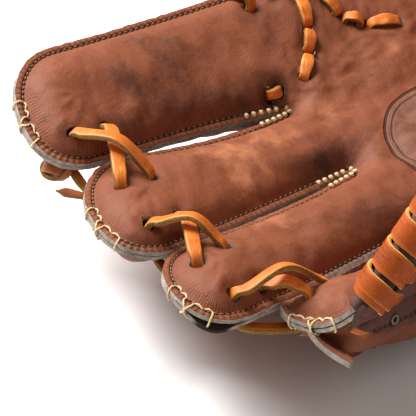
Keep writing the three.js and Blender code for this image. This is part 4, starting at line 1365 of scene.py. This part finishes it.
def sewn(name, rows, height, up, materials, length, radius, rise, down):
    """One piece of all the stitches of some rows on a face, laid in the groove."""
    at_face = on_face(height, up, 0.4)
    centres, aheads, normals = [], [], []
    for points, ahead in rows:
        place, normal = at_face(points)
        centres.append(place - normal * down)
        aheads.append(at_face(points + 0.3 * unit(ahead))[0] - place)
        normals.append(normal)
    place, faces = threads(*(np.concatenate(part) for part in (centres, aheads, normals)),
                           length, radius, rise)
    new_piece(name, place, faces, materials, [])


ahead = np.diff(coarse_outline, axis=0)
here = coarse_outline[:-1] - middle[:2]
inside_turn = np.sign((here[:, 0] * ahead[:, 1] - here[:, 1] * ahead[:, 0]).sum())
slit_ends = [seam_point(i, slit_radius) for i in (1, 2, 3)]
tack_reach = 15.5  # no machine stitches this near to a slit's end
for name, skip, height, up in (("palm_sewing", 0, palm_height, True),
                               ("back_sewing", heel_steps // 2 + 1, back_height, False)):
    centres, ahead = stitch_row(coarse_outline, inside_turn, skip)
    clear = nearest(centres, coarse_outline)[0] > stitch_inset - 0.35
    if up:
        clear &= hole_gap(centres, slit_ends) > tack_reach
    sewn(name, [(centres[clear], ahead[clear])], height, up, brown_thread,
         stitch_length, thread_radius, 0.3, 0.3)

# whipped stitches, in turn on both sides of each slit and over its closed end
tack_pitch, tack_length, tack_radius, tack_inset, tacks_to_side = 2.9, 2.2, 0.88, 1.35, 5
end_inset, end_turn = 1.8, math.radians(35)
rows = []
for i in (1, 2, 3):
    left, right = finger_edges[i - 1], finger_edges[i]
    reach = np.linalg.norm(left(1, np.array(0.9)) - left(1, np.array(0.0))) / 0.9
    for edge, side, other, first in ((left, 1, 0, 1.2), (right, 0, 1, 2.6)):
        share = (first + tack_pitch * np.arange(tacks_to_side)) / reach
        point, across = edge(side, share), edge(other, share)
        inward = unit(across - point)
        rows.append((point + inward * tack_inset, inward))
    u, v = seam_point(i, span_radius) - seam_point(i, slit_radius)
    inward = -np.stack([heading(math.atan2(u, v) + turn) for turn in (end_turn, -end_turn)])
    rows.append((seam_point(i, slit_radius) + inward * end_inset, inward))
sewn("slit_sewing", rows, palm_height, True, cream_thread, tack_length, tack_radius, 0.5, 0.1)

# bars over both cut edges of each fingertip, a cross in the middle and a thread between them
tip_rows = [
    # finger, middle of the sewing along the tip from its middle, reach to each side
    (0, 0.6, 13.5),
    (1, -6.0, 10.0),
    (2, -6.0, 11.0),
    (3, -0.7, 10.0),
]
bar_inset, bar_radius, cross_reach = 2.8, 0.34, 1.9
tip_middle = side_steps + tip_steps // 2
cords = []
for finger, centre, reach in tip_rows:
    ring, inner = finger_fronts[finger][[0, 8]]
    run = run_along(ring)
    run = run - run[tip_middle] - centre

    def at_tip(at, inset, w):
        """A place by a fingertip: along its outline, in from its edge and off the seam's plane."""
        here, further = (np.array([np.interp(at, run, line[:, k]) for k in (0, 1)])
                         for line in (ring, inner))
        inward = unit(further - here)
        return formed((here + inset * inward)[None], np.array([w]))[0]

    face = seam_gap / 2 + leather
    bars = [(-reach, -reach + 0.8), (reach, reach - 0.6), (-cross_reach, cross_reach),
            (cross_reach, -cross_reach)]
    paths = []
    for k, (a, b) in enumerate(bars):
        lift = -0.15 + 0.12 * (k % 2)
        over = [(a, bar_inset, face - 0.5), (a, bar_inset - 0.7, face + lift), (a, 0.7, face + lift)]
        edge = [(mix(a, b, 0.35), -0.3, 0.5 * face), (mix(a, b, 0.65), -0.3, -0.5 * face)]
        under = [(b, inset, -w) for _, inset, w in over[::-1]]
        paths.append([*over, *edge, *under])
    for a, b in ((-reach, -cross_reach), (cross_reach, reach)):
        for c, d in ((a, mix(a, b, 0.42)), (mix(a, b, 0.5), b)):
            paths.append([(c, bar_inset - 0.1, face - 0.3), (d, bar_inset - 0.1, face - 0.3)])
            paths[-1].insert(1, (mix(c, d, 0.5), bar_inset + 0.3, face + 0.3))
    cords += [drawn([at_tip(*point) for point in path], 0.5) for path in paths]
sides = [unit(np.cross(line[-1] - line[0] + [0.01, 0, 0], [0.1, 0.2, 1.0])) for line in cords]
place, faces, _ = together([strip(line, side, 2 * bar_radius, 2 * bar_radius, around=8, power=2)
                            for line, side in zip(cords, sides)])
new_piece("tip_sewing", place, faces, cream_thread, [])

# Eyelet
# Dusty cream thread worked round the flange's spare hole, drawn as one thick ring that stands a
# little proud of the hide.

eyelet_radius, eyelet_thread, eyelet_lift = 1.4, 0.7, 1.7
p, n = on_back(spare_hole)
ahead = unit(on_back(spare_hole + [0, 1])[0] - p)
aside = np.cross(n, ahead)
angle = np.radians(np.arange(0, 375, 12))[:, None]
ring = p + eyelet_lift * n + eyelet_radius * (np.cos(angle) * ahead + np.sin(angle) * aside)
place, faces, _ = strip(ring, n, eyelet_thread, eyelet_thread, around=8, power=2)
dusty_thread = [thread_material("dusty_thread", (0.36, 0.29, 0.19), (0.15, 0.11, 0.07), 0.0003)]
new_piece("flange_eyelet", place, faces, dusty_thread, [])

# Floor, light and camera
# A pale floor that runs out to white, a wide soft light from the upper left behind the glove
# and a weak one in front. The camera stands where the photograph was taken from.

floor_reach, floor_tone = 3, 0.9
floor_mesh = bpy.data.meshes.new("floor")
corners = [(-1, -1), (1, -1), (1, 1), (-1, 1)]
floor_mesh.from_pydata([(floor_reach * x, floor_reach * y, 0) for x, y in corners], [], [(0, 1, 2, 3)])
floor = bpy.data.objects.new("floor", floor_mesh)
bpy.context.scene.collection.objects.link(floor)
material, place, shader = start_material("floor_white")
finish_material(shader, place, (floor_tone,) * 3, 0.8)
floor_mesh.materials.append(material)

world = bpy.data.worlds.new("studio")
world.use_nodes = True
background = world.node_tree.nodes["Background"].inputs
background["Color"].default_value = (1, 0.85, 0.73, 1)
background["Strength"].default_value = 0.24
bpy.context.scene.world = world
bpy.context.scene.view_settings.view_transform = "Standard"

# the place looked at and the distance in millimetres, the sensor's width and pixels, and the
# pixels to a millimetre at the target
azimuth, elevation, roll = math.radians(-136.83), math.radians(36.39), math.radians(5.857)
target, distance = np.array([-0.33, 249.96, 47.4]) - middle, 834.1
sensor_width, sensor_pixels, pixel_scale = 36, 416, 2.9536
back = np.array([math.sin(azimuth) * math.cos(elevation), -math.cos(azimuth) * math.cos(elevation),
                 math.sin(elevation)])
right = np.array([math.cos(azimuth), math.sin(azimuth), 0])
up = np.cross(back, right)
view_axes = np.array([right * math.cos(roll) + up * math.sin(roll),
                      -right * math.sin(roll) + up * math.cos(roll), back])


def stand(thing, axes, at):
    """Stands a camera or lamp at a place in metres, its own x, y and z along the three axes."""
    thing.matrix_world = Matrix([[*row, p] for row, p in zip(np.stack(axes, 1), at)] + [[0, 0, 0, 1]])
    bpy.context.scene.collection.objects.link(thing)


camera = bpy.data.objects.new("camera", bpy.data.cameras.new("camera"))
camera.data.sensor_width = sensor_width
camera.data.lens = sensor_width * pixel_scale * distance / sensor_pixels
camera.data.clip_start = 0.05
stand(camera, view_axes, (target + distance * back) / 1000)
bpy.context.scene.camera = camera


def soft_light(name, towards, away, size, power):
    """An area light aimed at the glove from a direction given in the camera's right, up, back."""
    z = unit(np.array(towards) @ view_axes)
    x = unit(np.cross([0, 0, 1], z))
    lamp = bpy.data.lights.new(name, "AREA")
    lamp.shape, lamp.size, lamp.size_y, lamp.energy = "RECTANGLE", size, size, power
    stand(bpy.data.objects.new(name, lamp), [x, np.cross(z, x), z], target / 1000 + away * z)


soft_light("key", (-0.6, 1.0, 0.15), 1.2, 0.7, 36)
soft_light("fill", (0.4, 0.3, 1.0), 1.5, 1.2, 3.5)
